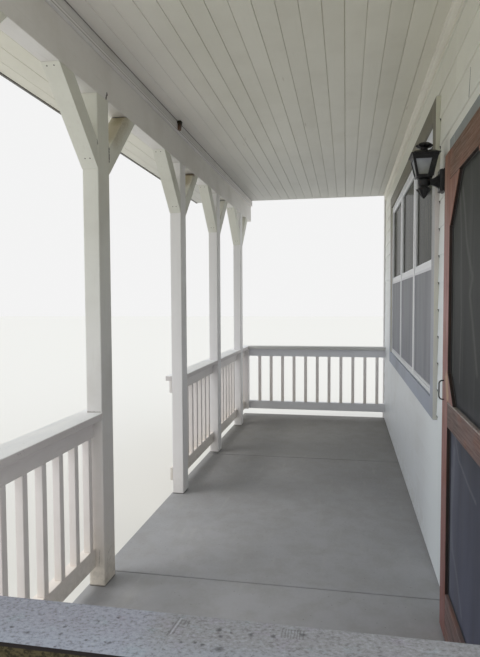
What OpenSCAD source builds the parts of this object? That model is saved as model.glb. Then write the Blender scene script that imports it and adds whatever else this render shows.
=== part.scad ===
// Covered front porch of a timber house: floor slab, posts with knee braces, beam, board ceiling,
// balustrade, lean-to roof and the house wall with its triple window, screen door and wall lantern.
// Millimetres. X runs along the porch, +Y points into the house, Z is up and the ground is z = 0.
// y = 0 is the front of the wall's siding, and wall_y is the face that carries it.

/* [Slab] */
// Length of the floor slab
slab_l = 6780; // [6400:10:7600]
// Depth of the slab from the house wall to its front edge
slab_d = 1868; // [1600:1:2400]
// Height of the slab's top above the ground
slab_t = 150; // [100:5:250]
// Distance between the two contraction joints
slab_joint_gap = 2500; // [2000:10:3000]
// Middle of the two contraction joints
slab_joint_mid = -50; // [-300:10:300]
// Width of a contraction joint
slab_joint_w = 8; // [4:1:15]
// Depth of a contraction joint
slab_joint_deep = 20; // [10:1:40]

/* [Posts and beam] */
// Size of a post along the porch
post_l = 140; // [90:1:200]
// Size of a post across the porch, and of the beam and braces
post_w = 89; // [80:1:140]
// Eased edge of a post
post_ease = 4; // [1:1:10]
// Set-back of the posts from the slab's front edge
post_set = 11; // [0:1:60]
// Middle of the entry between the two posts beside it
entry_x = 573; // [400:1:700]
// Distance between the centres of the two posts beside the entry
entry_w = 1480; // [1300:10:1700]
// Distance from the far corner newel's centre to the next post's centre
end_bay = 520; // [400:5:700]
// Distance from the near corner newel's centre to the next post's centre
near_bay = 573; // [400:1:700]
// Height of the beam's underside above the slab
beam_h = 2610; // [2400:5:2800]
// Height of the ceiling above the slab
ceiling_h = 2888; // [2800:1:3200]
// Height that a knee brace rises at the post
brace_rise = 390; // [250:5:480]
// Depth of a knee brace
brace_d = 100; // [70:1:140]
// Height of the trim board along the beam's top
moulding_h = 76; // [40:1:120]
// Thickness of the trim board along the beam's top
moulding_t = 19; // [10:1:30]

/* [Balustrade] */
// Height of the rail cap's top above the slab
cap_h = 942; // [850:1:1100]
// Width of the rail cap
cap_w = 140; // [110:1:180]
// Thickness of the rail cap
cap_t = 38; // [25:1:50]
// Gap where the near end's cap is joined from two boards
cap_joint = 1; // [1:1:6]
// Distance of that joint from the house wall
cap_joint_y = 808; // [500:1:1200]
// Height of the top rail
top_rail_h = 95; // [60:1:140]
// Height of the bottom rail
bottom_rail_h = 103; // [60:1:140]
// Height of the bottom rail's underside above the slab
bottom_rail_z = 106; // [60:1:150]
// Thickness of the inner rail boards, and side of a baluster
rail_t = 38; // [30:1:50]
// Thickness of the outer rail boards, which run past the posts
outer_t = 19; // [12:1:30]
// Distance between the centres of two balusters
baluster_pitch = 152; // [110:1:180]
// Gap between a front bay's first baluster and its post
first_gap = 23; // [10:1:100]
// Gap between an end bay's first baluster and the corner newel
first_gap_end = 123; // [60:1:130]
// Distance from the slab's end to the outer face of the corner newel
newel_set = 152; // [60:1:250]
// Side of a corner newel
newel_w = 89; // [80:1:120]

/* [Roof] */
// Distance of the eave from the beam's outer face
eave_out = 676; // [400:1:900]
// Slope of the roof in degrees
roof_pitch = 14; // [8:1:25]
// Depth of the fascia and rake boards
fascia_h = 140; // [100:1:200]
// Thickness of the fascia and rake boards
fascia_t = 19; // [15:1:40]
// How far the fascia reaches below the soffit
fascia_drop = 5; // [2:1:30]
// Thickness of the ceiling and soffit boards
board_t = 18; // [10:1:25]
// Thickness of the roof deck with its covering
deck_t = 45; // [30:1:80]
// How far the roof deck reaches past the fascia
deck_lip = 20; // [5:1:50]
// Thickness of the gable infills
gable_t = 60; // [30:1:100]
// Clearance of a piece at its seat, under the roof deck, in the window frame and at the lantern's arm
seat_gap = 0.3; // [0.2:0.1:0.8]

/* [House wall] */
// How far the house wall runs past the slab at each end
wall_over = 30; // [0:5:200]
// Thickness of the house wall
wall_t = 150; // [100:5:250]
// How far the siding stands in front of the wall's face
siding_t = 8; // [5:1:20]
// Width of a corner board
corner_w = 100; // [70:1:150]
// Thickness of a corner board
corner_t = 20; // [12:1:30]
// Height of the crown trim below the ceiling
crown_h = 71; // [40:1:110]
// Projection of the crown trim along the ceiling
crown_out = 34; // [20:1:60]
// Thickness of the crown trim's lower edge
crown_foot = 16; // [10:1:25]

/* [Window] */
// Left edge of the window's opening
window_x0 = -2110; // [-2400:10:-1800]
// Right edge of the window's opening
window_x1 = 800; // [600:10:850]
// Height of the opening's lower edge above the slab
window_z0 = 978; // [700:1:1200]
// Height of the opening's upper edge above the slab
window_z1 = 2524; // [2200:1:2600]
// Number of window units side by side
window_units = 3; // [1:1:4]
// Width of the casing boards round the window and the door
casing_w = 110; // [80:1:130]
// Projection of the casing boards from the siding
casing_out = 20; // [10:1:25]
// Width of the window frame's outer bars
frame_w = 28; // [20:1:40]
// Depth of the window frame behind the wall's face
frame_depth = 90; // [70:5:140]
// Width of a mullion between two units
mullion_w = 64; // [50:1:90]
// Width of a sash's stiles and rails
sash_w = 44; // [30:1:60]
// Thickness of a sash
sash_t = 30; // [20:1:40]
// Thickness of the glass
glass_t = 5; // [3:1:8]
// Width of an insect screen's frame
screen_w = 18; // [12:1:30]
// Thickness of an insect screen's frame
screen_t = 9; // [6:1:12]

/* [Doorway] */
// Left edge of the doorway
door_x0 = 1450; // [1400:1:1600]
// Right edge of the doorway
door_x1 = 2420; // [2200:1:2450]
// Height of the doorway above the slab
door_h = 2170; // [2000:1:2250]
// Thickness of the jamb liners
jamb_t = 20; // [12:1:30]
// Thickness of the threshold
threshold_t = 18; // [10:1:30]
// Thickness of the entry door
entry_t = 44; // [35:1:60]
// Set-back of the entry door from the wall's back
entry_set = 40; // [10:5:60]
// Width of the entry door's stiles and upper rails
entry_rail = 115; // [90:5:140]
// Height of the entry door's foot rail
entry_foot = 200; // [120:5:260]
// Height of the entry door's middle rail above its foot
entry_mid = 900; // [700:10:1000]
// Depth of its sunk panels
entry_sunk = 8; // [4:1:15]

/* [Screen door] */
// Overlap of the screen door on the casing at its sides and top
screen_lap = 10; // [5:1:20]
// Gap between the screen door and the casing's face
screen_gap = 5; // [5:1:10]
// Thickness of the screen door
door_t = 32; // [25:1:40]
// Gap between the screen door and the slab
door_gap = 15; // [8:1:25]
// Width of its stiles
stile_w = 130; // [90:1:150]
// Height of its top rail
head_rail_h = 128; // [90:1:160]
// Height of its middle rail
mid_rail_h = 110; // [80:1:180]
// Height of the middle rail's underside above the slab
mid_rail_z = 974; // [800:1:1100]
// Height of its bottom rail
foot_rail_h = 207; // [120:1:260]
// Size of the slanting corner braces under the top rail
head_brace = 200; // [120:1:240]
// Size of the slanting corner braces on the middle rail
mid_brace = 126; // [80:1:200]
// Width of a corner brace's blunt ends
brace_end = 8; // [5:1:30]
// Depth of the wire mesh behind the door's front
mesh_set = 16; // [5:1:25]
// Thickness of the wire mesh
mesh_t = 2; // [1:0.5:4]
// Height of the pull from leg to leg
pull_h = 92; // [70:1:140]
// Height of the pull's middle above the slab
pull_z = 1124; // [950:1:1250]
// Diameter of the pull's wire
pull_d = 6; // [5:1:12]
// Reach of the pull from the door
pull_out = 21; // [18:1:50]

/* [Hinges] */
// Height of a hinge
hinge_h = 76; // [60:1:100]
// Distance of the outer hinges' middles from the screen door's ends
hinge_set = 220; // [150:5:300]
// Thickness of the hinge leaves
leaf_t = 3; // [2:0.5:5]
// Radius of a hinge knuckle
knuckle_r = 6; // [5:0.5:8]
// Radius of a hinge pin
pin_r = 3; // [2:0.5:4]
// Running clearance round a hinge pin
pin_gap = 0.08; // [0.05:0.01:0.1]

/* [Lantern] */
// Middle of the lantern along the wall
lantern_x = 1080; // [1000:1:1150]
// Height of the lantern's lower tip above the slab
lantern_z = 2057; // [1900:1:2100]
// Distance of the lantern's axis from the siding
lantern_out = 101; // [95:1:150]
// Width of the back plate
plate_w = 80; // [60:1:110]
// Height of the back plate
plate_h = 115; // [90:1:140]
// Projection of the back plate from the siding
plate_out = 28; // [10:1:35]
// Width of the cage at its foot
cage_low = 84; // [60:1:100]
// Width of the cage at its top
cage_top = 130; // [110:1:170]
// Height of the cage
cage_h = 110; // [80:1:140]
// How far the lantern's eave reaches past the cage
eave_lip = 7; // [3:1:15]

/* [Hidden] */
$fn = 48;

// Paint colours, as red, green and blue shares
WHITE_PAINT = [0.86, 0.85, 0.81];
CEILING_PAINT = [0.84, 0.83, 0.77];
SIDING_PAINT = [0.88, 0.90, 0.92];
TRIM_GREY = [0.56, 0.60, 0.64];
VINYL = [0.92, 0.93, 0.94];
CONCRETE = [0.60, 0.61, 0.62];
DARK_BOARD = [0.22, 0.20, 0.19];
SHINGLE = [0.33, 0.31, 0.30];
STAINED = [0.42, 0.23, 0.18];
BLACK_METAL = [0.05, 0.05, 0.05];

// Lines along the porch
end_x = slab_l / 2;
newel_x1 = end_x - newel_set;
newel_x0 = newel_x1 - newel_w;
newel_mid = (newel_x0 + newel_x1) / 2;
post_far = -newel_mid + end_bay;
post_near = newel_mid - near_bay;
entry_far = entry_x - entry_w / 2;
entry_near = entry_x + entry_w / 2;
half_post = post_l / 2;
POST_X = [post_near, entry_near, entry_far, (entry_far + post_far) / 2, post_far];

// Lines across the porch
wall_y = siding_t;
wall_back = wall_y + wall_t;
front_y = wall_y - slab_d;
post_y0 = front_y + post_set;
post_y1 = post_y0 + post_w;
cap_y0 = post_y1 - cap_w;
eave_y = post_y0 - eave_out;

// Heights
floor_z = slab_t;
beam_z = floor_z + beam_h;
ceiling_z = floor_z + ceiling_h;
attic_z = ceiling_z + board_t;
cap_z = floor_z + cap_h;
rail_top_z = cap_z - cap_t;
wall_end = end_x + wall_over;
win_z0 = floor_z + window_z0;
win_z1 = floor_z + window_z1;
head_z = floor_z + door_h;

// Height of the roof deck's underside at a place across the porch
function deck_z(y) = ceiling_z - fascia_drop + fascia_h + (y - eave_y) * tan(roof_pitch);

// A flat shape drawn as (y, z), carried along X from x0 to x1
module along_x(x0, x1) {
  translate([x0, 0, 0]) rotate([90, 0, 90]) linear_extrude(x1 - x0) children();
}

// A flat shape drawn as (x, z), carried along Y from y0 to y1
module along_y(y0, y1) {
  translate([0, y1, 0]) rotate([90, 0, 0]) linear_extrude(y1 - y0) children();
}

// A box given by its lowest and highest corners
module block(low, high) {
  translate(low) cube(high - low);
}

// A flat frame: an outer rectangle less its inner one
module flat_frame(x0, z0, x1, z1, w) {
  difference() {
    translate([x0, z0]) square([x1 - x0, z1 - z0]);
    translate([x0 + w, z0 + w]) square([x1 - x0 - 2 * w, z1 - z0 - 2 * w]);
  }
}

// Both ends of the porch: the child as drawn at the near end, and mirrored at the far end
module both_ends() {
  children();
  mirror([1, 0, 0]) children();
}

module slab() {
  color(CONCRETE) difference() {
    block([-end_x, front_y, 0], [end_x, wall_y, slab_t]);
    for (side = [-1, 1])
      translate([slab_joint_mid + side * slab_joint_gap / 2, 0, 0])
        block([-slab_joint_w / 2, front_y - 1, slab_t - slab_joint_deep], [slab_joint_w / 2, wall_y + 1, slab_t + 1]);
  }
}

module foundation() {
  color(CONCRETE) block([-wall_end, wall_y, 0], [wall_end, wall_back, slab_t]);
}

// Post with eased edges, from the slab to the beam
module post(x) {
  a = half_post;
  e = post_ease;
  color(WHITE_PAINT) translate([x, post_y0, floor_z])
    linear_extrude(beam_z - floor_z)
      polygon([[-a + e, 0], [a - e, 0], [a, e], [a, post_w - e], [a - e, post_w], [-a + e, post_w],
               [-a, post_w - e], [-a, e]]);
}

module post_1() { post(POST_X[0]); }
module post_2() { post(POST_X[1]); }
module post_3() { post(POST_X[2]); }
module post_4() { post(POST_X[3]); }
module post_5() { post(POST_X[4]); }

// Knee braces at 45 degrees, cut flush against the post and the beam
module braces() {
  run = brace_d * sqrt(2);
  color(WHITE_PAINT)
    for (x = POST_X, side = [-1, 1])
      translate([x, 0, beam_z]) scale([side, 1, 1])
        along_y(post_y0, post_y1)
          translate([half_post, 0])
            polygon([[0, -brace_rise], [brace_rise, 0], [brace_rise - run, 0], [0, run - brace_rise]]);
}

module beam() {
  color(WHITE_PAINT) block([-end_x, post_y0, beam_z], [end_x, post_y1, ceiling_z]);
}

// Trim board along the beam's inner face, with a small cove under the ceiling
module beam_moulding() {
  cove = moulding_t - 7;
  color(WHITE_PAINT) along_x(-end_x, end_x)
    translate([post_y1, ceiling_z - moulding_h])
      polygon([[0, 0], [moulding_t, 0], [moulding_t, moulding_h - 2 * cove],
               [moulding_t - cove / 2, moulding_h - cove], [moulding_t, moulding_h], [0, moulding_h]]);
}

module ceiling() {
  color(CEILING_PAINT) block([-end_x, post_y0, ceiling_z], [end_x, wall_y, attic_z]);
}

module soffit() {
  color(CEILING_PAINT) block([-end_x, eave_y + fascia_t, ceiling_z], [end_x, post_y0, attic_z]);
}

// Fascia along the eave and rake boards up the roof's two ends
module fascia_boards() {
  low = ceiling_z - fascia_drop;
  color(DARK_BOARD) {
    along_x(-end_x, end_x)
      polygon([[eave_y, low], [eave_y + fascia_t, low], [eave_y + fascia_t, deck_z(eave_y + fascia_t)],
               [eave_y, deck_z(eave_y)]]);
    both_ends()
      along_x(end_x, end_x + fascia_t)
        polygon([[eave_y, low], [wall_y, deck_z(wall_y) - fascia_h], [wall_y, deck_z(wall_y)],
                 [eave_y, deck_z(eave_y)]]);
  }
}

module roof_deck() {
  y0 = eave_y - deck_lip;
  low = seat_gap;
  color(SHINGLE) along_x(-wall_end - deck_lip, wall_end + deck_lip)
    polygon([[y0, deck_z(y0) + low], [wall_back, deck_z(wall_back) + low],
             [wall_back, deck_z(wall_back) + deck_t], [y0, deck_z(y0) + deck_t]]);
}

// Triangular panels that close the roof space at both ends
module gable_infills() {
  y0 = eave_y + fascia_t;
  color(SIDING_PAINT) both_ends()
    along_x(end_x - gable_t, end_x)
      polygon([[y0, attic_z], [wall_y, attic_z], [wall_y, deck_z(wall_y)], [y0, deck_z(y0)]]);
}

// Piece of the house wall between two heights
module wall_block(x0, x1, z0, z1) {
  color(SIDING_PAINT) block([x0, wall_y, z0], [x1, wall_back, z1]);
}

// Piece of the house wall from a height up to the sloping roof deck
module wall_to_roof(x0, x1, z0) {
  color(SIDING_PAINT) along_x(x0, x1)
    polygon([[wall_y, z0], [wall_back, z0], [wall_back, deck_z(wall_back)], [wall_y, deck_z(wall_y)]]);
}

module wall_far_pier() { wall_to_roof(-wall_end, window_x0, slab_t); }
module wall_below_window() { wall_block(window_x0, window_x1, slab_t, win_z0); }
module wall_above_window() { wall_to_roof(window_x0, window_x1, win_z1); }
module wall_middle_pier() { wall_to_roof(window_x1, door_x0, slab_t); }
module wall_above_door() { wall_to_roof(door_x0, door_x1, head_z); }
module wall_near_pier() { wall_to_roof(door_x1, wall_end, slab_t); }

// Corner boards, wrapped round the two ends of the house wall
module corner_boards() {
  proud = corner_t - siding_t;
  color(WHITE_PAINT) both_ends() {
    block([wall_end - corner_w, -proud, floor_z], [wall_end + corner_t, wall_y, ceiling_z]);
    block([wall_end, -proud, floor_z], [wall_end + corner_t, wall_y + corner_w, ceiling_z]);
  }
}

// Crown trim in the corner between the wall and the ceiling, with a coved face
module wall_crown() {
  foot = crown_foot - wall_y;
  cove_r = crown_h * 0.9;
  reach = wall_end - corner_w;
  color(WHITE_PAINT) along_x(-reach, reach)
    translate([wall_y, ceiling_z])
      polygon([[0, 0], [-crown_out, 0], [-crown_out, -crown_h / 6], [-crown_out + 6, -crown_h / 5],
               for (a = [0:15:75]) [-foot - wall_y - (crown_out - 10 - foot - wall_y) * (1 - sin(a)),
                                    -crown_h / 5 - (crown_h * 0.6) * (1 - cos(a))],
               [-foot - wall_y, -crown_h + 8], [-foot - wall_y, -crown_h], [0, -crown_h]]);
}

// Caps along the front: from each corner to the entry, notched round the posts
module front_caps() {
  out = newel_x0 + cap_w;
  color(WHITE_PAINT) difference() {
    union() {
      block([entry_near - half_post, cap_y0, rail_top_z], [out, post_y1, cap_z]);
      block([-out, cap_y0, rail_top_z], [entry_far + half_post, post_y1, cap_z]);
    }
    for (x = POST_X)
      block([x - half_post, post_y0, rail_top_z - 1], [x + half_post, post_y1 + 1, cap_z + 1]);
  }
}

// Caps across the ends: the near one is joined from two boards
module end_caps() {
  out = newel_x0 + cap_w;
  seam = wall_y - cap_joint_y;
  color(WHITE_PAINT) {
    block([newel_x0, post_y1, rail_top_z], [out, seam - cap_joint / 2, cap_z]);
    block([newel_x0, seam + cap_joint / 2, rail_top_z], [out, wall_y, cap_z]);
    block([-out, post_y1, rail_top_z], [-newel_x0, wall_y, cap_z]);
  }
}

// Heights of the rails
low_rail_z0 = floor_z + bottom_rail_z;
low_rail_z1 = low_rail_z0 + bottom_rail_h;
top_rail_z0 = rail_top_z - top_rail_h;

// Front bays: both ends along X, and whether the balusters are counted from the far end
FRONT_BAYS = [[POST_X[0] + half_post, newel_x0, false], [POST_X[1] + half_post, POST_X[0] - half_post, false],
              [POST_X[3] + half_post, POST_X[2] - half_post, true],
              [POST_X[4] + half_post, POST_X[3] - half_post, true], [-newel_x0, POST_X[4] - half_post, true]];

// Both inner rails of a bay, from 0 to len along X, with their outer faces at y = 0
module bay_rails(len) {
  block([0, 0, low_rail_z0], [len, rail_t, low_rail_z1]);
  block([0, 0, top_rail_z0], [len, rail_t, rail_top_z]);
}

// Balusters of a bay, standing between its two rails
module bay_balusters(len, first, from_end) {
  count = floor((len - first - rail_t) / baluster_pitch) + 1;
  for (i = [0:count - 1]) {
    x = first + i * baluster_pitch;
    x0 = from_end ? len - x - rail_t : x;
    block([x0, 0, low_rail_z1], [x0 + rail_t, rail_t, top_rail_z0]);
  }
}

// Outer boards that run past the posts, from x0 to x1
module outer_boards(x0, x1) {
  block([x0, -outer_t, low_rail_z0], [x1, 0, low_rail_z1]);
  block([x0, -outer_t, top_rail_z0], [x1, 0, rail_top_z]);
}

// Turns a bay drawn along X so that it runs across the porch's end, outer face outwards
module across_end() {
  translate([newel_x1, 0, 0]) rotate([0, 0, 90]) children();
}

module front_rails() {
  color(WHITE_PAINT) union() {
    for (bay = FRONT_BAYS)
      translate([bay[0], post_y0, 0]) bay_rails(bay[1] - bay[0]);
    translate([0, post_y0, 0]) outer_boards(POST_X[1] - half_post, newel_x1);
    translate([0, post_y0, 0]) outer_boards(-newel_x1, POST_X[2] + half_post);
  }
}

module end_rails() {
  color(WHITE_PAINT) both_ends() across_end() union() {
    translate([post_y1, 0, 0]) bay_rails(wall_y - post_y1);
    outer_boards(post_y0 - outer_t, wall_y);
  }
}

module balusters() {
  color(WHITE_PAINT) {
    for (bay = FRONT_BAYS)
      translate([bay[0], post_y0, 0]) bay_balusters(bay[1] - bay[0], first_gap, bay[2]);
    both_ends() across_end()
      translate([post_y1, 0, 0]) bay_balusters(wall_y - post_y1, first_gap_end, false);
  }
}

// Corner newels, held by the rails that meet at them
module corner_newels() {
  color(WHITE_PAINT) both_ends()
    block([newel_x0, post_y0, low_rail_z0], [newel_x1, post_y1, rail_top_z]);
}

// Casing boards round an opening, lying on the wall's face
module window_casing() {
  color(TRIM_GREY) along_y(-casing_out, wall_y)
    flat_frame(window_x0 - casing_w, win_z0 - casing_w, window_x1 + casing_w, win_z1 + casing_w, casing_w);
}

unit_w = (window_x1 - window_x0 - 2 * frame_w - (window_units - 1) * mullion_w) / window_units;
meet_z = (win_z0 + win_z1) / 2;

// Left edge of a window unit, inside the frame
function unit_x(i) = window_x0 + frame_w + i * (unit_w + mullion_w);

// Frame of the triple window with its mullions
frame_y0 = -6;
frame_y1 = wall_y + frame_depth;
module window_frame() {
  color(VINYL) along_y(frame_y0, frame_y1) union() {
    flat_frame(window_x0, win_z0, window_x1, win_z1, frame_w);
    if (window_units > 1)
      for (i = [1:window_units - 1])
        translate([unit_x(i) - mullion_w, win_z0 + frame_w])
          square([mullion_w, win_z1 - win_z0 - 2 * frame_w]);
  }
}

// Upper sashes lie in the outer track and lower sashes in the inner one; they lap at the meeting rail
track_gap = 2;
upper_y0 = frame_y0 + 5;
screen_y0 = frame_y0 + 2;
cloth_t = 1.5;
lower_y0 = upper_y0 + sash_t + track_gap;
upper_z0 = meet_z - sash_w / 2;
lower_z1 = meet_z + sash_w / 2;
module window_sashes() {
  color(VINYL)
    for (i = [0:window_units - 1]) {
      x0 = unit_x(i) + seat_gap;
      x1 = unit_x(i) + unit_w - seat_gap;
      along_y(upper_y0, upper_y0 + sash_t)
        flat_frame(x0, upper_z0, x1, win_z1 - frame_w - seat_gap, sash_w);
      along_y(lower_y0, lower_y0 + sash_t)
        flat_frame(x0, win_z0 + frame_w + seat_gap, x1, lower_z1, sash_w);
    }
}

// One pane in each sash
module window_glass() {
  inset = (sash_t - glass_t) / 2;
  color([0.55, 0.62, 0.66, 0.5])
    for (i = [0:window_units - 1]) {
      edge = sash_w + 2 * seat_gap;
      x0 = unit_x(i) + edge;
      x1 = unit_x(i) + unit_w - edge;
      block([x0, upper_y0 + inset, upper_z0 + sash_w], [x1, upper_y0 + inset + glass_t, win_z1 - frame_w - edge]);
      block([x0, lower_y0 + inset, win_z0 + frame_w + edge], [x1, lower_y0 + inset + glass_t, lower_z1 - sash_w]);
    }
}

// Insect screens in front of the lower sashes: a frame and its cloth
module insect_screens() {
  z0 = win_z0 + frame_w + seat_gap;
  z1 = upper_z0 - seat_gap;
  color([0.50, 0.51, 0.55])
    for (i = [0:window_units - 1]) {
      x0 = unit_x(i) + seat_gap;
      x1 = unit_x(i) + unit_w - seat_gap;
      along_y(screen_y0, screen_y0 + screen_t) flat_frame(x0, z0, x1, z1, screen_w);
      block([x0 + screen_w, screen_y0 + screen_t / 2, z0 + screen_w],
            [x1 - screen_w, screen_y0 + screen_t / 2 + cloth_t, z1 - screen_w]);
    }
}

// Casing and jamb liners of the doorway, open at the floor
module door_casing() {
  color(TRIM_GREY) union() {
    along_y(-casing_out, wall_y) difference() {
      translate([door_x0 - casing_w, floor_z]) square([door_x1 - door_x0 + 2 * casing_w, door_h + casing_w]);
      translate([door_x0, floor_z - 1]) square([door_x1 - door_x0, door_h + 1]);
    }
    along_y(-casing_out, wall_back) difference() {
      translate([door_x0, floor_z]) square([door_x1 - door_x0, door_h]);
      translate([door_x0 + jamb_t, floor_z - 1]) square([door_x1 - door_x0 - 2 * jamb_t, door_h - jamb_t + 1]);
    }
  }
}

// Plain closed entry door with two sunk panels
module entry_door() {
  x0 = door_x0 + jamb_t;
  x1 = door_x1 - jamb_t;
  z0 = floor_z + threshold_t;
  z1 = head_z - jamb_t;
  y1 = wall_back - entry_set;
  mid = z0 + entry_mid;
  color([0.50, 0.48, 0.45]) difference() {
    block([x0, y1 - entry_t, z0], [x1, y1, z1]);
    for (span = [[z0 + entry_foot, mid], [mid + entry_rail, z1 - entry_rail]],
         y = [y1 - entry_t - 1, y1 - entry_sunk])
      block([x0 + entry_rail, y, span[0]], [x1 - entry_rail, y + entry_sunk + 1, span[1]]);
  }
}

module threshold() {
  color([0.45, 0.42, 0.38])
    block([door_x0 + jamb_t, -casing_out, floor_z], [door_x1 - jamb_t, wall_back, floor_z + threshold_t]);
}

// Screen door: places shared by its frame, mesh, pull and hinges
sd_x0 = door_x0 - screen_lap;
sd_x1 = door_x1 + screen_lap;
sd_z0 = floor_z + door_gap;
sd_z1 = head_z + screen_lap;
sd_y1 = -casing_out - screen_gap;
sd_y0 = sd_y1 - door_t;
mid_z0 = floor_z + mid_rail_z;
mid_z1 = mid_z0 + mid_rail_h;

// Slanting corner brace of the upper panel with blunt ends, drawn in the corner at the origin
module corner_brace(leg) {
  polygon([[0, 0], [leg, 0], [leg, brace_end], [brace_end, leg], [0, leg]]);
}

// Openings of the two panels
module lower_opening() {
  translate([sd_x0 + stile_w, sd_z0 + foot_rail_h])
    square([sd_x1 - sd_x0 - 2 * stile_w, mid_z0 - sd_z0 - foot_rail_h]);
}

module upper_opening() {
  x0 = sd_x0 + stile_w;
  x1 = sd_x1 - stile_w;
  z1 = sd_z1 - head_rail_h;
  difference() {
    translate([x0, mid_z1]) square([x1 - x0, z1 - mid_z1]);
    translate([x0, mid_z1]) corner_brace(mid_brace);
    translate([x1, mid_z1]) mirror([1, 0]) corner_brace(mid_brace);
    translate([x0, z1]) mirror([0, 1]) corner_brace(head_brace);
    translate([x1, z1]) rotate(180) corner_brace(head_brace);
  }
}

module screen_door() {
  color(STAINED) along_y(sd_y0, sd_y1) difference() {
    translate([sd_x0, sd_z0]) square([sd_x1 - sd_x0, sd_z1 - sd_z0]);
    lower_opening();
    upper_opening();
  }
}

// Wire mesh, stretched flat in a groove of each panel
module screen_mesh() {
  color([0.20, 0.21, 0.22]) along_y(sd_y0 + mesh_set, sd_y0 + mesh_set + mesh_t) {
    lower_opening();
    upper_opening();
  }
}

// Wire pull on the lock stile: two legs and a bar with round bends
module door_pull() {
  r = pull_d / 2;
  bend = 2.5 * pull_d;
  x = sd_x0 + stile_w / 3;
  z = floor_z + pull_z;
  color(BLACK_METAL) translate([x, sd_y0, z]) union() {
    for (side = [-1, 1]) {
      translate([0, 0, side * (pull_h / 2 - r)]) rotate([90, 0, 0]) cylinder(h = pull_out - bend, r = r);
      translate([0, -pull_out + bend, side * (pull_h / 2 - r - bend)]) scale([1, 1, side]) rotate([0, -90, 0])
        rotate([0, 0, 270]) rotate_extrude(angle = 90) translate([bend, 0]) circle(r);
    }
    translate([0, -pull_out, -pull_h / 2 + r + bend]) cylinder(h = pull_h - 2 * (r + bend), r = r);
  }
}

// Hinges: the pin stands in front of the door's face, just beyond its edge
hinge_x = sd_x1 + 8;
hinge_y = sd_y0 - knuckle_r;
HINGE_Z = [sd_z0 + hinge_set, (sd_z0 + sd_z1) / 2, sd_z1 - hinge_set];
knuckle_h = hinge_h / 3;
end_play = 0.5;

// Door-side leaves with the middle knuckle, bored for the pin
module door_leaves() {
  leaf_w = 40;
  color(BLACK_METAL)
    for (z = HINGE_Z)
      translate([0, 0, z]) difference() {
        union() {
          block([sd_x1 - leaf_w, sd_y0 - leaf_t, -hinge_h / 2], [sd_x1 - 2, sd_y0, hinge_h / 2]);
          block([sd_x1 - 2, sd_y0 - leaf_t, -knuckle_h / 2], [hinge_x, sd_y0, knuckle_h / 2]);
          translate([hinge_x, hinge_y, -knuckle_h / 2]) cylinder(h = knuckle_h, r = knuckle_r);
        }
        translate([hinge_x, hinge_y, -hinge_h]) cylinder(h = 2 * hinge_h, r = pin_r + pin_gap);
      }
}

// Fixed brackets with the pins: a leaf on the casing, a web past the door's edge and two knuckles
module hinge_brackets() {
  web_x = hinge_x + 2;
  web_t = 4;
  leaf_w = 36;
  side_h = knuckle_h - end_play;
  color(BLACK_METAL)
    for (z = HINGE_Z)
      translate([0, 0, z]) union() {
        block([web_x, -casing_out - leaf_t, -hinge_h / 2], [web_x + leaf_w, -casing_out, hinge_h / 2]);
        translate([hinge_x, hinge_y, -hinge_h / 2]) cylinder(h = hinge_h, r = pin_r);
        for (low = [-hinge_h / 2, hinge_h / 2 - side_h]) {
          block([web_x, hinge_y, low], [web_x + web_t, -casing_out, low + side_h]);
          translate([hinge_x, hinge_y, low]) cylinder(h = side_h, r = knuckle_r);
        }
      }
}

// Lantern: places shared by its parts
axis_y = -lantern_out;
tip_z = floor_z + lantern_z;
urn_r = 30;
cage_z = tip_z + 108;
cage_foot = 10;
cage_wall = 5;
cage_bar = 11;
cage_back = 28;
cage_band = 24;
pocket_low = cage_low - 2 * cage_wall + 4;
pocket_top = cage_top - 2 * cage_wall + 2;
plate_mid = tip_z + 86;
plate_base = 10;

// Square frustum standing on z = 0
module frustum(low, top, h) {
  linear_extrude(h, scale = top / low) square(low, center = true);
}

// A ring of leaves: a scalloped disc that widens or narrows as it rises
module leaves(low, top, h, lobes = 8) {
  linear_extrude(h, scale = top / low)
    polygon([for (a = [0:7.5:359]) low * (1 + 0.09 * cos(lobes * a)) * [cos(a), sin(a)]]);
}

// Back plate with a raised face, and the flared arm that carries the lantern
module lantern_bracket() {
  arm_t = 18;
  arm_z = plate_mid - 3;
  root = 15;
  flare = 24;
  reach = lantern_out - plate_out - urn_r - seat_gap;
  color(BLACK_METAL) {
    block([lantern_x - plate_w / 2, -plate_base, plate_mid - plate_h / 2],
          [lantern_x + plate_w / 2, wall_y, plate_mid + plate_h / 2]);
    translate([lantern_x, -plate_base, plate_mid]) rotate([90, 0, 0]) {
      linear_extrude(5) square([plate_w - 8, plate_h - 8], center = true);
      translate([0, 0, 4]) linear_extrude(plate_out - plate_base - 4, scale = 0.94)
        square([plate_w - 2, plate_h - 2], center = true);
    }
    translate([lantern_x - arm_t / 2, -plate_out, arm_z]) rotate([90, 0, 90]) linear_extrude(arm_t)
      polygon([for (s = [0:0.125:1]) [-reach * s, root + flare * pow(1 - s, 2)],
               for (s = [1:-0.125:0]) [-reach * s, -root - flare * pow(1 - s, 2)]]);
  }
}

// Outline of an opening for a pane between an outer bar and a bar of the given width
module pane_opening(bar) {
  up = cage_h - cage_foot - cage_band;
  polygon([[-cage_low / 2 + cage_bar, 0], [cage_low / 2 - bar, 0],
           [cage_top / 2 - bar - 6, up], [-cage_top / 2 + cage_bar + 6, up]]);
}

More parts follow.
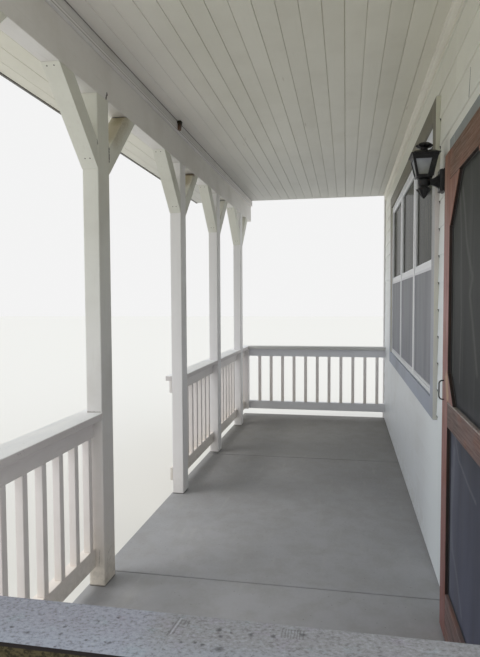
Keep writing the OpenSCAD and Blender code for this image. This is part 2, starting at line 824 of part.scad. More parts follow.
// Leafy cone, turned urn, cage with a closed back and a top band, low roof and leafy crown
module lantern_body() {
  color(BLACK_METAL) translate([lantern_x, axis_y, 0]) union() {
    translate([0, 0, tip_z]) leaves(3, 17, 18);
    translate([0, 0, tip_z + 16]) leaves(15, 28, 17);
    translate([0, 0, tip_z + 31]) leaves(25, 38, 16);
    translate([0, 0, tip_z]) rotate_extrude()
      polygon([[0, 44], [30, 46], [30, 52], [21, 56], [21, 60], [26, 62], [urn_r, 67], [urn_r, 95], [27, 99],
               [38, 102], [42, 108], [0, 108]]);
    translate([0, 0, cage_z]) difference() {
      frustum(cage_low, cage_top, cage_h);
      translate([0, 0, cage_foot]) frustum(pocket_low, pocket_top, cage_h - cage_foot + 0.1);
      translate([0, 0, cage_foot]) rotate([90, 0, 0]) linear_extrude(cage_top) pane_opening(cage_bar);
      translate([0, 0, cage_foot]) rotate([90, 0, 90]) linear_extrude(2 * cage_top, center = true)
        pane_opening(cage_back);
    }
    translate([0, 0, cage_z + cage_foot]) rotate_extrude()
      polygon([[0, -1], [15, -1], [19, 12], [10, 12], [10, 34], [0, 34]]);
    translate([0, 0, cage_z + cage_h]) {
      linear_extrude(5) square(cage_top + 2 * eave_lip, center = true);
      translate([0, 0, 5]) frustum(cage_top + 2, cage_top - 26, 11);
      translate([0, 0, 15.5]) frustum(cage_top - 26, 54, 10);
      translate([0, 0, 24]) rotate_extrude() polygon([[0, 0], [26, 0], [17, 6], [17, 18], [0, 18]]);
      translate([0, 0, 40]) leaves(24, 42, 9);
      translate([0, 0, 48.5]) leaves(42, 38, 8);
      translate([0, 0, 56]) rotate_extrude() polygon([[0, 0], [34, 0], [27, 8], [14, 12], [0, 14]]);
    }
  }
}

// Four frosted panes inside the cage, joined at their edges
module lantern_glass() {
  pane_t = 3;
  h = cage_h - cage_foot - 0.5;
  low = pocket_low - 2 * seat_gap;
  top = pocket_top - 2 * seat_gap;
  color([0.85, 0.86, 0.90, 0.6]) translate([lantern_x, axis_y, cage_z + cage_foot]) difference() {
    frustum(low, top, h);
    translate([0, 0, -0.01]) frustum(low - 2 * pane_t, top - 2 * pane_t, h + 0.02);
  }
}

slab();
foundation();
post_1();
post_2();
post_3();
post_4();
post_5();
braces();
beam();
beam_moulding();
ceiling();
soffit();
fascia_boards();
roof_deck();
gable_infills();
wall_far_pier();
wall_below_window();
wall_above_window();
wall_middle_pier();
wall_above_door();
wall_near_pier();
corner_boards();
wall_crown();
front_caps();
end_caps();
front_rails();
end_rails();
balusters();
corner_newels();
window_casing();
window_frame();
window_sashes();
window_glass();
insect_screens();
door_casing();
entry_door();
threshold();
screen_door();
screen_mesh();
door_pull();
door_leaves();
hinge_brackets();
lantern_bracket();
lantern_body();
lantern_glass();
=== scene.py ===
# %% [markdown]
# # A covered front porch
# This lesson dresses a measured model of a porch until it looks like a real, lived-in one.
# The solids come from a CAD model, in metres, with X along the porch, Y into the house and Z up.
# We keep their sizes and add what a solid lacks: boards, grooves, shingles, worn paint, grain and rust.

# %% Load the measured porch
import math
import random

import bmesh
import bpy
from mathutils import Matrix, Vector


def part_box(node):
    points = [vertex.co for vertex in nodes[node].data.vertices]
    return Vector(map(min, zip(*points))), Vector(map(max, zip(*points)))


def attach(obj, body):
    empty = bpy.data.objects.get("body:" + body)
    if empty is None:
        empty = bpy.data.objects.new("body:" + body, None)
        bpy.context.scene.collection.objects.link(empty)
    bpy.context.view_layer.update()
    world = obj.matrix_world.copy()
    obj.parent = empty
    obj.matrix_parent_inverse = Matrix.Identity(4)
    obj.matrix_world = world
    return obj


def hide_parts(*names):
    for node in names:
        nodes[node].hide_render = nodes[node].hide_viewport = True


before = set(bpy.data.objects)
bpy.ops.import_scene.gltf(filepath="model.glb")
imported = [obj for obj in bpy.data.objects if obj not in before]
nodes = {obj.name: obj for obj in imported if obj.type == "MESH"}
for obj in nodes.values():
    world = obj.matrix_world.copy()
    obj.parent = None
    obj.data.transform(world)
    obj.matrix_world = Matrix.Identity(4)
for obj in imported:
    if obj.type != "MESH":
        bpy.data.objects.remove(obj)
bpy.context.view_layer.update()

# %% [markdown]
# ## The camera
# The photograph was taken from just beyond the near end of the porch, at eye height, looking along it.
# We could place a camera by eye and nudge it. It is surer to solve for it: known edges of the porch were
# matched to the picture, which gave the place, the three turns and the lens below.

# %% Camera
camera_data = bpy.data.cameras.new("camera")
camera_data.sensor_width = 36.0
camera_data.lens = 30.66
camera = bpy.data.objects.new("camera", camera_data)
camera.location = (4.1336, -0.4959, 1.6764)
camera.rotation_euler = [math.radians(turn) for turn in (87.288, 0.2615, 100.690)]
bpy.context.scene.collection.objects.link(camera)
bpy.context.scene.camera = camera
bpy.context.scene.view_settings.view_transform = "Standard"

# %% [markdown]
# ## Helpers for shader nodes
# A finish is a small network of nodes. Each one needs the same three things: a kind, some settings and
# some values on its sockets. One function adds such a node, and a few more do the sums, mixes and blends
# that come back all the time, so every finish below is short enough to read.

# %% Node helpers
def add_node(tree, kind, inputs=None, **settings):
    """Adds one shader node with its settings and the values on its sockets."""
    node = tree.nodes.new(kind)
    for name, value in settings.items():
        setattr(node, name, value)
    for name, value in (inputs or {}).items():
        node.inputs[name].default_value = value
    return node


def new_finish(name):
    """A material with an empty network: returns the material, its tree and its main shader."""
    material = bpy.data.materials.new(name)
    material.use_nodes = True
    tree = material.node_tree
    shader = tree.nodes["Principled BSDF"]
    return material, tree, shader


def feed(tree, socket, value):
    """Lets a socket read another node, or sets its value, or leaves it alone for None."""
    if isinstance(value, bpy.types.NodeSocket):
        tree.links.new(value, socket)
    elif value is not None:
        socket.default_value = value


def math_node(tree, operation, a, b=None):
    """One sum on numbers or sockets."""
    node = add_node(tree, "ShaderNodeMath", operation=operation)
    feed(tree, node.inputs[0], a)
    feed(tree, node.inputs[1], b)
    return node.outputs[0]


def mix_colour(tree, share, a, b, blend="MIX"):
    """Mixes two colours by a share. Each may be a colour or a socket."""
    node = add_node(tree, "ShaderNodeMix", data_type="RGBA", blend_type=blend)
    feed(tree, node.inputs[0], share)
    for socket, colour in ((node.inputs[6], a), (node.inputs[7], b)):
        feed(tree, socket, (*colour, 1.0) if isinstance(colour, tuple) else colour)
    return node.outputs[2]


def between(tree, value, low, high, start=0.0, end=1.0):
    """Turns a value's stretch from low to high into start to end, smoothly."""
    node = add_node(tree, "ShaderNodeMapRange", interpolation_type="SMOOTHSTEP")
    tree.links.new(value, node.inputs["Value"])
    for name, number in (("From Min", low), ("From Max", high), ("To Min", start), ("To Max", end)):
        node.inputs[name].default_value = number
    return node.outputs["Result"]


def bump(tree, shader, value, strength, distance):
    """Lets a value raise the surface a little."""
    node = add_node(tree, "ShaderNodeBump", {"Strength": strength, "Distance": distance})
    tree.links.new(value, node.inputs["Height"])
    tree.links.new(node.outputs["Normal"], shader.inputs["Normal"])


def dull(finish, shine):
    """Takes the shine off a finish, down to a share of the usual mirroring."""
    finish.node_tree.nodes["Principled BSDF"].inputs["Specular IOR Level"].default_value = shine


print("node helpers ready")

# %% [markdown]
# ## The place of a point
# Every finish is worked out from where a point lies on the porch, in metres. Squeezed along the grain, that
# place draws noise out into fibres. Each board of a joined mesh shifts it by a number of its own, so no two
# boards match. A colour could also be painted on by hand, but then each change of size would spoil it. The
# same goes for the tones by height: a wall is painted bluer and whiter low down, as sky light, and creamier
# and darker under its ceiling, as painted shade.

# %% Place helpers
def board_number(tree):
    """The number between 0 and 1 that each board of a joined mesh carries."""
    return add_node(tree, "ShaderNodeAttribute", attribute_name="board").outputs["Fac"]


BOARD_SHIFT = 7.0


def place(tree, scale):
    """The point on the porch in metres, stretched by scale and shifted for each board."""
    point = add_node(tree, "ShaderNodeTexCoord").outputs["Object"]
    shifted = add_node(tree, "ShaderNodeVectorMath", operation="ADD")
    tree.links.new(point, shifted.inputs[0])
    tree.links.new(math_node(tree, "MULTIPLY", board_number(tree), BOARD_SHIFT), shifted.inputs[1])
    squeeze = add_node(tree, "ShaderNodeMapping", {"Scale": scale})
    tree.links.new(shifted.outputs[0], squeeze.inputs["Vector"])
    return squeeze.outputs["Vector"]


def noise(tree, scale, detail, rough, grain=None, stretch=12.0):
    """Cloudy noise of a scale per metre, drawn out along the grain's axis if one is given."""
    scales = [scale / stretch if axis == grain else scale for axis in "XYZ"]
    cloud = add_node(tree, "ShaderNodeTexNoise", {"Scale": 1.0, "Detail": detail, "Roughness": rough})
    tree.links.new(place(tree, scales), cloud.inputs["Vector"])
    return cloud.outputs["Fac"]


def cell_distance(tree, scale):
    """How far the point lies from the heart of its cell, in a pattern of uneven cells."""
    cells = add_node(tree, "ShaderNodeTexVoronoi", {"Scale": 1.0, "Randomness": 1.0})
    tree.links.new(place(tree, scale), cells.inputs["Vector"])
    return cells.outputs["Distance"]


def coordinate(tree, axis):
    """How far the point lies along one axis of the porch, in metres."""
    point = add_node(tree, "ShaderNodeTexCoord").outputs["Object"]
    split = add_node(tree, "ShaderNodeSeparateXYZ")
    tree.links.new(point, split.inputs[0])
    return split.outputs[axis]


def height(tree):
    """The height of the point above the ground, in metres."""
    return coordinate(tree, "Z")


RAMP_TOP = 4.0


def tones(tree, stops):
    """A colour for each height above the ground, blended between (height, colour) stops."""
    ramp = add_node(tree, "ShaderNodeValToRGB")
    tree.links.new(math_node(tree, "MULTIPLY", height(tree), 1.0 / RAMP_TOP), ramp.inputs["Fac"])
    band = ramp.color_ramp.elements
    ends = [band[0], band[1]]
    for element, (z, colour) in zip(ends, (stops[0], stops[-1])):
        element.position = z / RAMP_TOP
        element.color = (*colour, 1.0)
    for z, colour in stops[1:-1]:
        band.new(z / RAMP_TOP).color = (*colour, 1.0)
    return ramp.outputs["Color"]


def one_tone(colour):
    """The stops of a paint that has one tone at every height."""
    return [(0.0, colour), (RAMP_TOP, colour)]


print("place helpers ready")

# %% [markdown]
# ## Marks in known places
# Some wear is not spread evenly: a crack at the foot of one post, a stain under one joint, a scratch on
# the cap. Such a mark has a place on the porch, so it is given by points in metres. The shader measures
# how far the point being coloured lies from the line between them. A little noise on the point keeps the
# mark's edge ragged.

# %% Mark helpers
def vector_node(tree, operation, a, b=None):
    """One sum on points. Gives a number for a length or a dot product, else a point."""
    node = add_node(tree, "ShaderNodeVectorMath", operation=operation)
    feed(tree, node.inputs[0], a)
    feed(tree, node.inputs["Scale"] if operation == "SCALE" else node.inputs[1], b)
    return node.outputs["Value" if operation in ("LENGTH", "DOT_PRODUCT") else "Vector"]


def ragged_point(tree, ragged):
    """The point on the porch, pushed about by noise of a few millimetres."""
    point = add_node(tree, "ShaderNodeTexCoord").outputs["Object"]
    cloud = add_node(tree, "ShaderNodeTexNoise", {"Scale": 90.0, "Detail": 3.0})
    tree.links.new(point, cloud.inputs["Vector"])
    offset = vector_node(tree, "SUBTRACT", cloud.outputs["Color"], (0.5, 0.5, 0.5))
    return vector_node(tree, "ADD", point, vector_node(tree, "SCALE", offset, ragged))


def clamped(tree, value):
    """Keeps a value between 0 and 1."""
    return math_node(tree, "MINIMUM", math_node(tree, "MAXIMUM", value, 0.0), 1.0)


def marks(tree, strokes, ragged, soft):
    """1 on strokes given as (start, end, reach), fading to 0 at their reach."""
    point = ragged_point(tree, ragged)
    share = 0.0
    for start, end, reach in strokes:
        run = Vector(end) - Vector(start)
        offset = vector_node(tree, "SUBTRACT", point, start)
        if run.length > 0:
            part_way = clamped(tree, vector_node(tree, "DOT_PRODUCT", offset, run / run.length_squared))
            offset = vector_node(tree, "SUBTRACT", offset, vector_node(tree, "SCALE", run, part_way))
        near = between(tree, vector_node(tree, "LENGTH", offset), reach, reach * soft)
        share = math_node(tree, "MAXIMUM", near, share)
    return share


def share_of_marks(strokes, ragged=0.012, soft=0.45, strength=1.0):
    """A function that works out marks of some strength in a finish's network."""
    return lambda tree: math_node(tree, "MULTIPLY", marks(tree, strokes, ragged, soft), strength)


def height_band(low, high, strength):
    """A share that is strong between two heights and fades within a millimetre."""
    def share(tree):
        rise = between(tree, height(tree), low - 0.001, low)
        fall = between(tree, height(tree), high + 0.001, high, 0.0, strength)
        return math_node(tree, "MULTIPLY", rise, fall)
    return share


def along_porch(start, end, strength):
    """A share that grows along the porch, from nothing at start to its strength at end."""
    return lambda tree: between(tree, coordinate(tree, "X"), start, end, 0.0, strength)


def overlay(finish, share_of, colour):
    """Lays a colour over a finish. share_of works out the share in the finish's own network."""
    tree = finish.node_tree
    base = tree.nodes["Principled BSDF"].inputs["Base Color"]
    under = base.links[0].from_socket
    tree.links.new(mix_colour(tree, share_of(tree), under, colour), base)


print("mark helpers ready")

# %% [markdown]
# ## Weathered paint
# Outdoor paint is never one colour. Broad clouds of grime lie over it, the brush and the wood leave fine
# lines along the grain, rain splashes dirt up from the floor, and each board has aged a little by itself.
# A photograph could be wrapped round the boards, but it would carry its own light and seams, so the paint
# is worked out from the place of each point. The same recipe then serves every painted board.

# %% Paint recipe
FLOOR_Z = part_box("slab")[1].z


def painted(name, stops, grime, grain="X", soil=0.35, streak=0.18, rough=0.55, splash=0.0, relief=0.25):
    """Old paint: tones by height under clouds and streaks of grime, with splashes near the floor."""
    material, tree, shader = new_finish(name)
    clouds = between(tree, noise(tree, 2.2, 5.0, 0.6), 0.42, 0.72, 0.0, soil)
    streaks = noise(tree, 70.0, 5.0, 0.65, grain)
    lines = between(tree, streaks, 0.5, 0.78, 0.0, streak)
    share = math_node(tree, "MAXIMUM", clouds, lines)
    if splash:
        low = between(tree, height(tree), FLOOR_Z + 0.30, FLOOR_Z, 0.0, splash)
        spots = between(tree, noise(tree, 26.0, 5.0, 0.7), 0.40, 0.62)
        share = math_node(tree, "MAXIMUM", share, math_node(tree, "MULTIPLY", low, spots))
    age = between(tree, board_number(tree), 0.0, 1.0, 0.0, 0.30)
    aged = mix_colour(tree, age, tones(tree, stops), (0.80, 0.79, 0.77), "MULTIPLY")
    tree.links.new(mix_colour(tree, share, aged, grime), shader.inputs["Base Color"])
    tree.links.new(between(tree, share, 0.0, 0.5, rough - 0.06, rough + 0.15), shader.inputs["Roughness"])
    bump(tree, shader, streaks, relief, 0.0015)
    return material


# Painted light and shade: under the ceiling this white is creamier and darker, for the shade and the tint
# of the light there. Towards the floor it is browner.
POST_WHITE_AND_LIGHT = [(0.15, (0.78, 0.71, 0.61)), (0.5, (0.82, 0.775, 0.74)), (1.1, (0.82, 0.80, 0.785)),
         (1.8, (0.80, 0.795, 0.745)), (2.5, (0.765, 0.76, 0.675))]
GRIME = (0.47, 0.43, 0.36)
print("paint recipe ready, floor at", round(FLOOR_Z, 3))

# %% [markdown]
# ## Softened edges
# A CAD solid has knife edges, which no painted timber has. Its mesh stays as it was measured, so the
# edges are rounded by a bevel modifier on top of it. The corners are joined first, because an imported
# mesh keeps its faces apart.

# %% Dress a measured node
def round_edges(piece, width, segments):
    """Rounds the edges of a piece that turn by more than a shallow bend."""
    soft = piece.modifiers.new("soft_edge", "BEVEL")
    soft.width = width
    soft.segments = segments
    soft.limit_method = "ANGLE"
    soft.angle_limit = math.radians(35)


def dress(node, finish, edge=0.003):
    """Gives a CAD node its finish and soft edges, without touching its mesh."""
    piece = nodes[node]
    piece.data.materials.clear()
    piece.data.materials.append(finish)
    weld = piece.modifiers.new("weld", "WELD")
    weld.merge_threshold = 0.00005
    if edge:
        round_edges(piece, edge, 2)


print("dressing ready for", len(nodes), "nodes")

# %% [markdown]
# ## Painted timber
# Posts, beam, rails and balusters are all white, but not one white. The rails are the cleanest, and their
# brighter white is partly painted light. The posts are creamier and darker under the ceiling, which is
# painted shade, and browner towards the floor, where a dark line at the foot is a painted shadow. The far
# posts are whiter, which is painted light. On one post the paint has cracked and the joints with its braces
# have opened. One paint for all would hide that, so each kind of timber has its own from one recipe, with
# the cracks as marks.

# %% Timber finishes
JOINT_MARKS = [((1.243, -1.758, 2.535), (1.243, -1.758, 2.44), 0.008),
               ((1.388, -1.758, 2.528), (1.386, -1.758, 2.498), 0.007)]
FOOT_CRACKS = [((1.384, -1.786, 0.351), (1.384, -1.793, 0.262), 0.003),
               ((1.352, -1.759, 0.262), (1.336, -1.759, 0.318), 0.003),
               ((1.336, -1.759, 0.318), (1.288, -1.759, 0.338), 0.003),
               ((1.325, -1.759, 0.235), (1.300, -1.759, 0.285), 0.003)]
CAP_SEAM = [((1.384, -1.852, 1.097), (1.384, -1.772, 1.097), 0.006)]
BEAM_CRACK = [((1.258, -1.759, 2.795), (1.272, -1.759, 2.768), 0.010)]
DARK_GAP_AND_SHADOW = (0.10, 0.085, 0.07)


def foot_shadow_line(tree):
    """A painted shadow line where a post meets the floor."""
    return between(tree, height(tree), FLOOR_Z + 0.011, FLOOR_Z + 0.004, 0.0, 0.85)


# Painted light: the far posts are made whiter, for the stronger light on them.
FAR_POST_LIGHT = (0.92, 0.90, 0.91)
post_paint = painted("post_paint", POST_WHITE_AND_LIGHT, GRIME, "Z", soil=0.22, splash=0.45)
overlay(post_paint, along_porch(0.6, -0.2, 0.7), FAR_POST_LIGHT)
overlay(post_paint, share_of_marks(JOINT_MARKS), DARK_GAP_AND_SHADOW)
overlay(post_paint, share_of_marks(FOOT_CRACKS + CAP_SEAM, 0.006, 0.2, 0.55), (0.20, 0.17, 0.14))
# Painted shadow: the dark line at the foot of each post.
overlay(post_paint, foot_shadow_line, DARK_GAP_AND_SHADOW)
beam_paint = painted("beam_paint", one_tone((0.81, 0.785, 0.750)), GRIME, "X", soil=0.26)
overlay(beam_paint, share_of_marks(BEAM_CRACK), DARK_GAP_AND_SHADOW)
# Painted light: the rails and balusters are whiter than the posts, partly to stand for light thrown up onto
# them.
RAIL_WHITE_AND_LIGHT = [(0.15, (0.87, 0.80, 0.70)), (0.5, (0.92, 0.86, 0.83)), (1.1, (0.93, 0.885, 0.87))]
rail_paint = painted("rail_paint", RAIL_WHITE_AND_LIGHT, GRIME, "X", soil=0.14, splash=0.4)
baluster_paint = painted("baluster_paint", RAIL_WHITE_AND_LIGHT, GRIME, "Z", soil=0.12, splash=0.35)
end_rail_paint = painted("end_rail_paint", POST_WHITE_AND_LIGHT, GRIME, "Y", soil=0.22, splash=0.4)
# Painted light: the far end rail is made whiter and bluer, for the sky light on it.
overlay(end_rail_paint, along_porch(0.0, -1.0, 0.7), (0.88, 0.905, 0.97))
for number in range(1, 6):
    dress(f"post_{number}", post_paint, 0.002)
dress("beam", beam_paint)
dress("front_rails", rail_paint)
dress("end_rails", end_rail_paint)
dress("balusters", baluster_paint)
dress("corner_newels", post_paint)
dress("corner_boards", post_paint)
dress("wall_crown", painted("crown_paint", one_tone((0.80, 0.775, 0.68)), GRIME, "X", soil=0.2), 0.0)
print("timber dressed:", sum(1 for node in nodes.values() if node.modifiers))

# %% [markdown]
# ## Braces and their stains
# Rain runs along the beam and drips on the upper side of the far braces, so those are stained yellow and
# brown, darkest in the corner under the beam. Noise alone would stain all braces alike, so each stain is
# a soft mark of its own, with a wide ragged edge. A last thin mark draws the open joint in each corner.

# %% Brace finish
brace_paint = painted("brace_paint", POST_WHITE_AND_LIGHT, GRIME, "Z", soil=0.30)
BRACE_STAINS = [
    (((0.99, -1.80, 2.76), (1.16, -1.80, 2.60), 0.11), 0.05, 0.1, 0.85, (0.42, 0.36, 0.23)),
    (((0.99, -1.80, 2.75), (1.03, -1.80, 2.71), 0.06), 0.05, 0.1, 0.60, (0.28, 0.24, 0.13)),
    (((-0.49, -1.82, 2.76), (-0.40, -1.82, 2.67), 0.10), 0.05, 0.2, 0.75, (0.36, 0.29, 0.15)),
    (((-0.486, -1.86, 2.76), (-0.486, -1.74, 2.76), 0.035), 0.02, 0.4, 0.90, (0.14, 0.080, 0.040))]
for stroke, ragged, soft, strength, colour in BRACE_STAINS:
    overlay(brace_paint, share_of_marks([stroke], ragged, soft, strength), colour)
TOP_CORNERS = [((x, -1.86, 2.760), (x, -1.75, 2.760), 0.012) for x in (0.994, -0.486, -1.739)]
overlay(brace_paint, share_of_marks(TOP_CORNERS + JOINT_MARKS), DARK_GAP_AND_SHADOW)
dress("braces", brace_paint)
print("braces stained at", len(TOP_CORNERS), "corners")

# %% [markdown]
# ## The end caps
# The caps lie flat in rain and sun, so they show the most wear. The one across the near end fills the foot
# of the picture. Its paint has gone chalky, with bluish, greenish and mauve clouds, mottled as the wood
# below it dries and swells, with dots of black mildew. Its dim blue-grey is painted shade: the far cap is
# white. Its outer edge face is dark. The clouds are noises of several sizes, and the clearest dots and
# scratches are marks in their own places.

# %% End cap finish
CAP_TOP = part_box("end_caps")[1].z
CAP_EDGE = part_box("end_caps")[1].x
CAP_W = 0.140
CAP_ROUND = 0.0025
CAP_SPOTS = [(3.185, -0.715, 0.008), (3.204, -0.709, 0.007), (3.241, -0.704, 0.013), (3.229, -0.749, 0.006),
             (3.233, -0.773, 0.006), (3.233, -0.733, 0.005), (3.190, -0.657, 0.008), (3.188, -0.618, 0.008),
             (3.174, -0.567, 0.008), (3.191, -0.693, 0.005), (3.182, -0.909, 0.006), (3.169, -0.862, 0.004),
             (3.256, -0.893, 0.006), (3.255, -0.902, 0.004), (3.224, -0.992, 0.004), (3.282, -0.978, 0.005),
             (3.256, -0.937, 0.005), (3.282, -0.914, 0.004), (3.253, -1.049, 0.009), (3.248, -0.989, 0.006),
             (3.244, -1.086, 0.005), (3.198, -0.939, 0.004)]
CAP_SCRATCHES = [((3.161, -0.796), (3.217, -0.802), 0.0030), ((3.166, -0.789), (3.211, -0.793), 0.0028),
                 ((3.167, -0.781), (3.182, -0.782), 0.0022), ((3.168, -0.774), (3.184, -0.775), 0.0022)]
COMB_SCRATCHES = (-0.604, -0.598, -0.593, -0.588, -0.582, -0.577, -0.572, -0.566)
CAP_SCRATCHES += [((3.162, y), (3.188, y), 0.0018) for y in COMB_SCRATCHES]


def on_cap(x, y):
    """A point of the near cap's top."""
    return (x, y, CAP_TOP)


def end_cap_finish(name):
    """Chalky paint with clouds of hue, mottles, mildew dots and a dark outer edge, grey as painted shade on
    the near cap.
    """
    material, tree, shader = new_finish(name)
    broad = noise(tree, 11.0, 4.0, 0.6, "Y", 1.6)
    hue = noise(tree, 24.0, 4.0, 0.65, "Y", 1.5)
    mottle = noise(tree, 150.0, 5.0, 0.7, "Y", 1.3)
    flecks = noise(tree, 42.0, 5.0, 0.7, "Y", 1.5)
    fibres = noise(tree, 300.0, 3.0, 0.6, "Y", 9.0)
    x = coordinate(tree, "X")
    drift = math_node(tree, "ADD", coordinate(tree, "Y"), math_node(tree, "MULTIPLY", broad, 0.16))
    past_middle = between(tree, drift, -0.70, -0.80)
    # Painted shade: these grey and bluish tones stand for the near cap's white paint in shade.
    grey = mix_colour(tree, past_middle, (0.282, 0.284, 0.298), (0.312, 0.322, 0.375))
    green = mix_colour(tree, between(tree, hue, 0.55, 0.72, 0.0, 0.65), grey, (0.295, 0.350, 0.375))
    mauve = mix_colour(tree, between(tree, hue, 0.45, 0.30, 0.0, 0.65), green, (0.310, 0.290, 0.340))
    outward = between(tree, x, CAP_EDGE - 0.085, CAP_EDGE - 0.01, 0.0, 0.35)
    washed = mix_colour(tree, outward, mauve, (0.37, 0.42, 0.50))
    dark = between(tree, mottle, 0.52, 0.34, 0.0, 0.65)
    dark = math_node(tree, "MAXIMUM", dark, between(tree, flecks, 0.42, 0.26, 0.0, 0.40))
    light = between(tree, mottle, 0.52, 0.68, 0.0, 0.45)
    darkened = mix_colour(tree, dark, washed, (0.145, 0.140, 0.145))
    mottled = mix_colour(tree, light, darkened, (0.42, 0.44, 0.49))
    lined = mix_colour(tree, between(tree, fibres, 0.5, 0.8, 0.0, 0.25), mottled, (0.20, 0.20, 0.20))
    edge = between(tree, math_node(tree, "ABSOLUTE", x), CAP_EDGE - 0.0022, CAP_EDGE - 0.0012)
    dark_edge_face = mix_colour(tree, between(tree, mottle, 0.4, 0.6), (0.030, 0.025, 0.014), (0.085, 0.070, 0.036))
    rim = between(tree, height(tree), CAP_TOP - 0.008, CAP_TOP - 0.005)
    side = mix_colour(tree, rim, dark_edge_face, (0.022, 0.018, 0.018))
    # Away from the near end the cap takes white paint, without the painted shade above.
    near_end = between(tree, x, -1.0, 1.0)
    white = mix_colour(tree, light, (0.66, 0.655, 0.64), (0.74, 0.74, 0.73))
    lined = mix_colour(tree, near_end, white, lined)
    side = mix_colour(tree, near_end, white, side)
    tree.links.new(mix_colour(tree, edge, lined, side), shader.inputs["Base Color"])
    shader.inputs["Roughness"].default_value = 0.85
    shader.inputs["Specular IOR Level"].default_value = 0.15
    bump(tree, shader, math_node(tree, "ADD", mottle, math_node(tree, "MULTIPLY", fibres, 0.5)), 0.7, 0.002)
    return material


end_cap_paint_and_shade = end_cap_finish("end_cap_paint_and_shade")
spots = [(on_cap(x, y), on_cap(x, y), reach) for x, y, reach in CAP_SPOTS]
scratches = [(on_cap(*start), on_cap(*end), reach) for start, end, reach in CAP_SCRATCHES]
bright_scratch = [(on_cap(3.163, -0.7925), on_cap(3.213, -0.7975), 0.0020)]
overlay(end_cap_paint_and_shade, share_of_marks(spots, 0.012, 0.1, 0.75), (0.070, 0.068, 0.072))
overlay(end_cap_paint_and_shade, share_of_marks(scratches, 0.003, 0.1, 0.42), (0.080, 0.075, 0.075))
overlay(end_cap_paint_and_shade, share_of_marks(bright_scratch, 0.002, 0.1, 0.6), (0.42, 0.42, 0.46))
dress("end_caps", end_cap_paint_and_shade, CAP_ROUND)
print("end caps:", len(spots), "mildew dots,", len(scratches), "scratches")

# %% [markdown]
# ## The front caps
# The caps along the front were painted more lately and the sun has bleached them: white on top, with fine
# raised grain, few specks, and a mauve tinge on their edges. Cells of a Voronoi pattern make round specks,
# which noise alone cannot.

# %% Front cap finish
def front_cap_finish(name):
    """White paint bleached by the sun, with raised grain and a few specks."""
    material, tree, shader = new_finish(name)
    ridges = noise(tree, 130.0, 6.0, 0.7, "X", 25.0)
    patches = noise(tree, 9.0, 5.0, 0.6, "X", 3.0)
    near = between(tree, cell_distance(tree, (60.0, 110.0, 110.0)), 0.30, 0.14)
    where = between(tree, noise(tree, 30.0, 4.0, 0.7, "X", 3.0), 0.54, 0.66, 0.0, 0.5)
    top = between(tree, height(tree), CAP_TOP - 0.004, CAP_TOP - 0.001)
    chalk = mix_colour(tree, between(tree, patches, 0.35, 0.7), (0.76, 0.765, 0.775), (0.83, 0.83, 0.825))
    body = mix_colour(tree, top, (0.78, 0.735, 0.725), chalk)
    lined = mix_colour(tree, between(tree, ridges, 0.54, 0.76, 0.0, 0.22), body, (0.50, 0.48, 0.47))
    speckled = mix_colour(tree, math_node(tree, "MULTIPLY", near, where), lined, (0.22, 0.21, 0.20))
    tree.links.new(speckled, shader.inputs["Base Color"])
    shader.inputs["Roughness"].default_value = 0.65
    bump(tree, shader, ridges, 0.4, 0.0015)
    return material


dress("front_caps", front_cap_finish("front_cap_paint"), 0.004)
print("front caps dressed")

# %% [markdown]
# ## Boards in one mesh
# A ceiling, a wall of siding or a roof is made of hundreds of like boards. An Array modifier could copy
# one board, but here the boards have to stop at a window or a door. So each board is worked out as a flat
# profile carried along an axis, and all of them are joined into one mesh. A number on each board, kept as
# an attribute named board, lets the finish give every board its own tone.

# %% Planks and joined meshes
def plank(profile, axis, start, end):
    """Corners and faces of a straight board: a flat profile carried along the X or the Y axis."""
    count = len(profile)
    corners = [(at, u, v) if axis == "X" else (u, at, v) for at in (start, end) for u, v in profile]
    faces = [[(i + 1) % count, i, count + i, count + (i + 1) % count] for i in range(count)]
    faces += [list(range(count)), list(range(2 * count - 1, count - 1, -1))]
    return corners, faces


def brick(low, high):
    """A board given by its lowest and highest corner."""
    profile = [(low[1], low[2]), (high[1], low[2]), (high[1], high[2]), (low[1], high[2])]
    return plank(profile, "X", low[0], high[0])


def join_parts(name, parts, finish, chamfer=0.0, body="porch", segments=1):
    """One object from many boards, riding on a body, with a tone for each board."""
    tone_draws = random.Random(name)
    corners, faces, board = [], [], []
    for part_corners, part_faces in parts:
        first = len(corners)
        corners += part_corners
        faces += [[first + i for i in face] for face in part_faces]
        board += [tone_draws.random()] * len(part_corners)
    mesh = bpy.data.meshes.new(name)
    mesh.from_pydata(corners, [], faces)
    sorter = bmesh.new()
    sorter.from_mesh(mesh)
    bmesh.ops.recalc_face_normals(sorter, faces=sorter.faces)
    sorter.to_mesh(mesh)
    sorter.free()
    mesh.attributes.new("board", "FLOAT", "POINT").data.foreach_set("value", board)
    mesh.materials.append(finish)
    piece = bpy.data.objects.new(name, mesh)
    bpy.context.scene.collection.objects.link(piece)
    if chamfer:
        round_edges(piece, chamfer, segments)
    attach(piece, body)
    print(name, len(parts), "boards,", len(faces), "faces")
    return piece


print("board helpers ready")

# %% [markdown]
# ## Small heads of nails and screws
# A nail shows only its head: a disc pressed a little into the wood, with a soft rim. A dark dot in the
# paint would do from afar, but near by a real disc catches the light. It is made of three rings of corners:
# one inside the wood, one at the rim and a smaller one for the flat face.

# %% Round heads
ROOT = 0.002
SIDES = 12


def ring_faces(pairs, count):
    """Faces between pairs of rings that have count corners each."""
    return [[a * count + i, a * count + (i + 1) % count, b * count + (i + 1) % count, b * count + i]
            for a, b in pairs for i in range(count)]


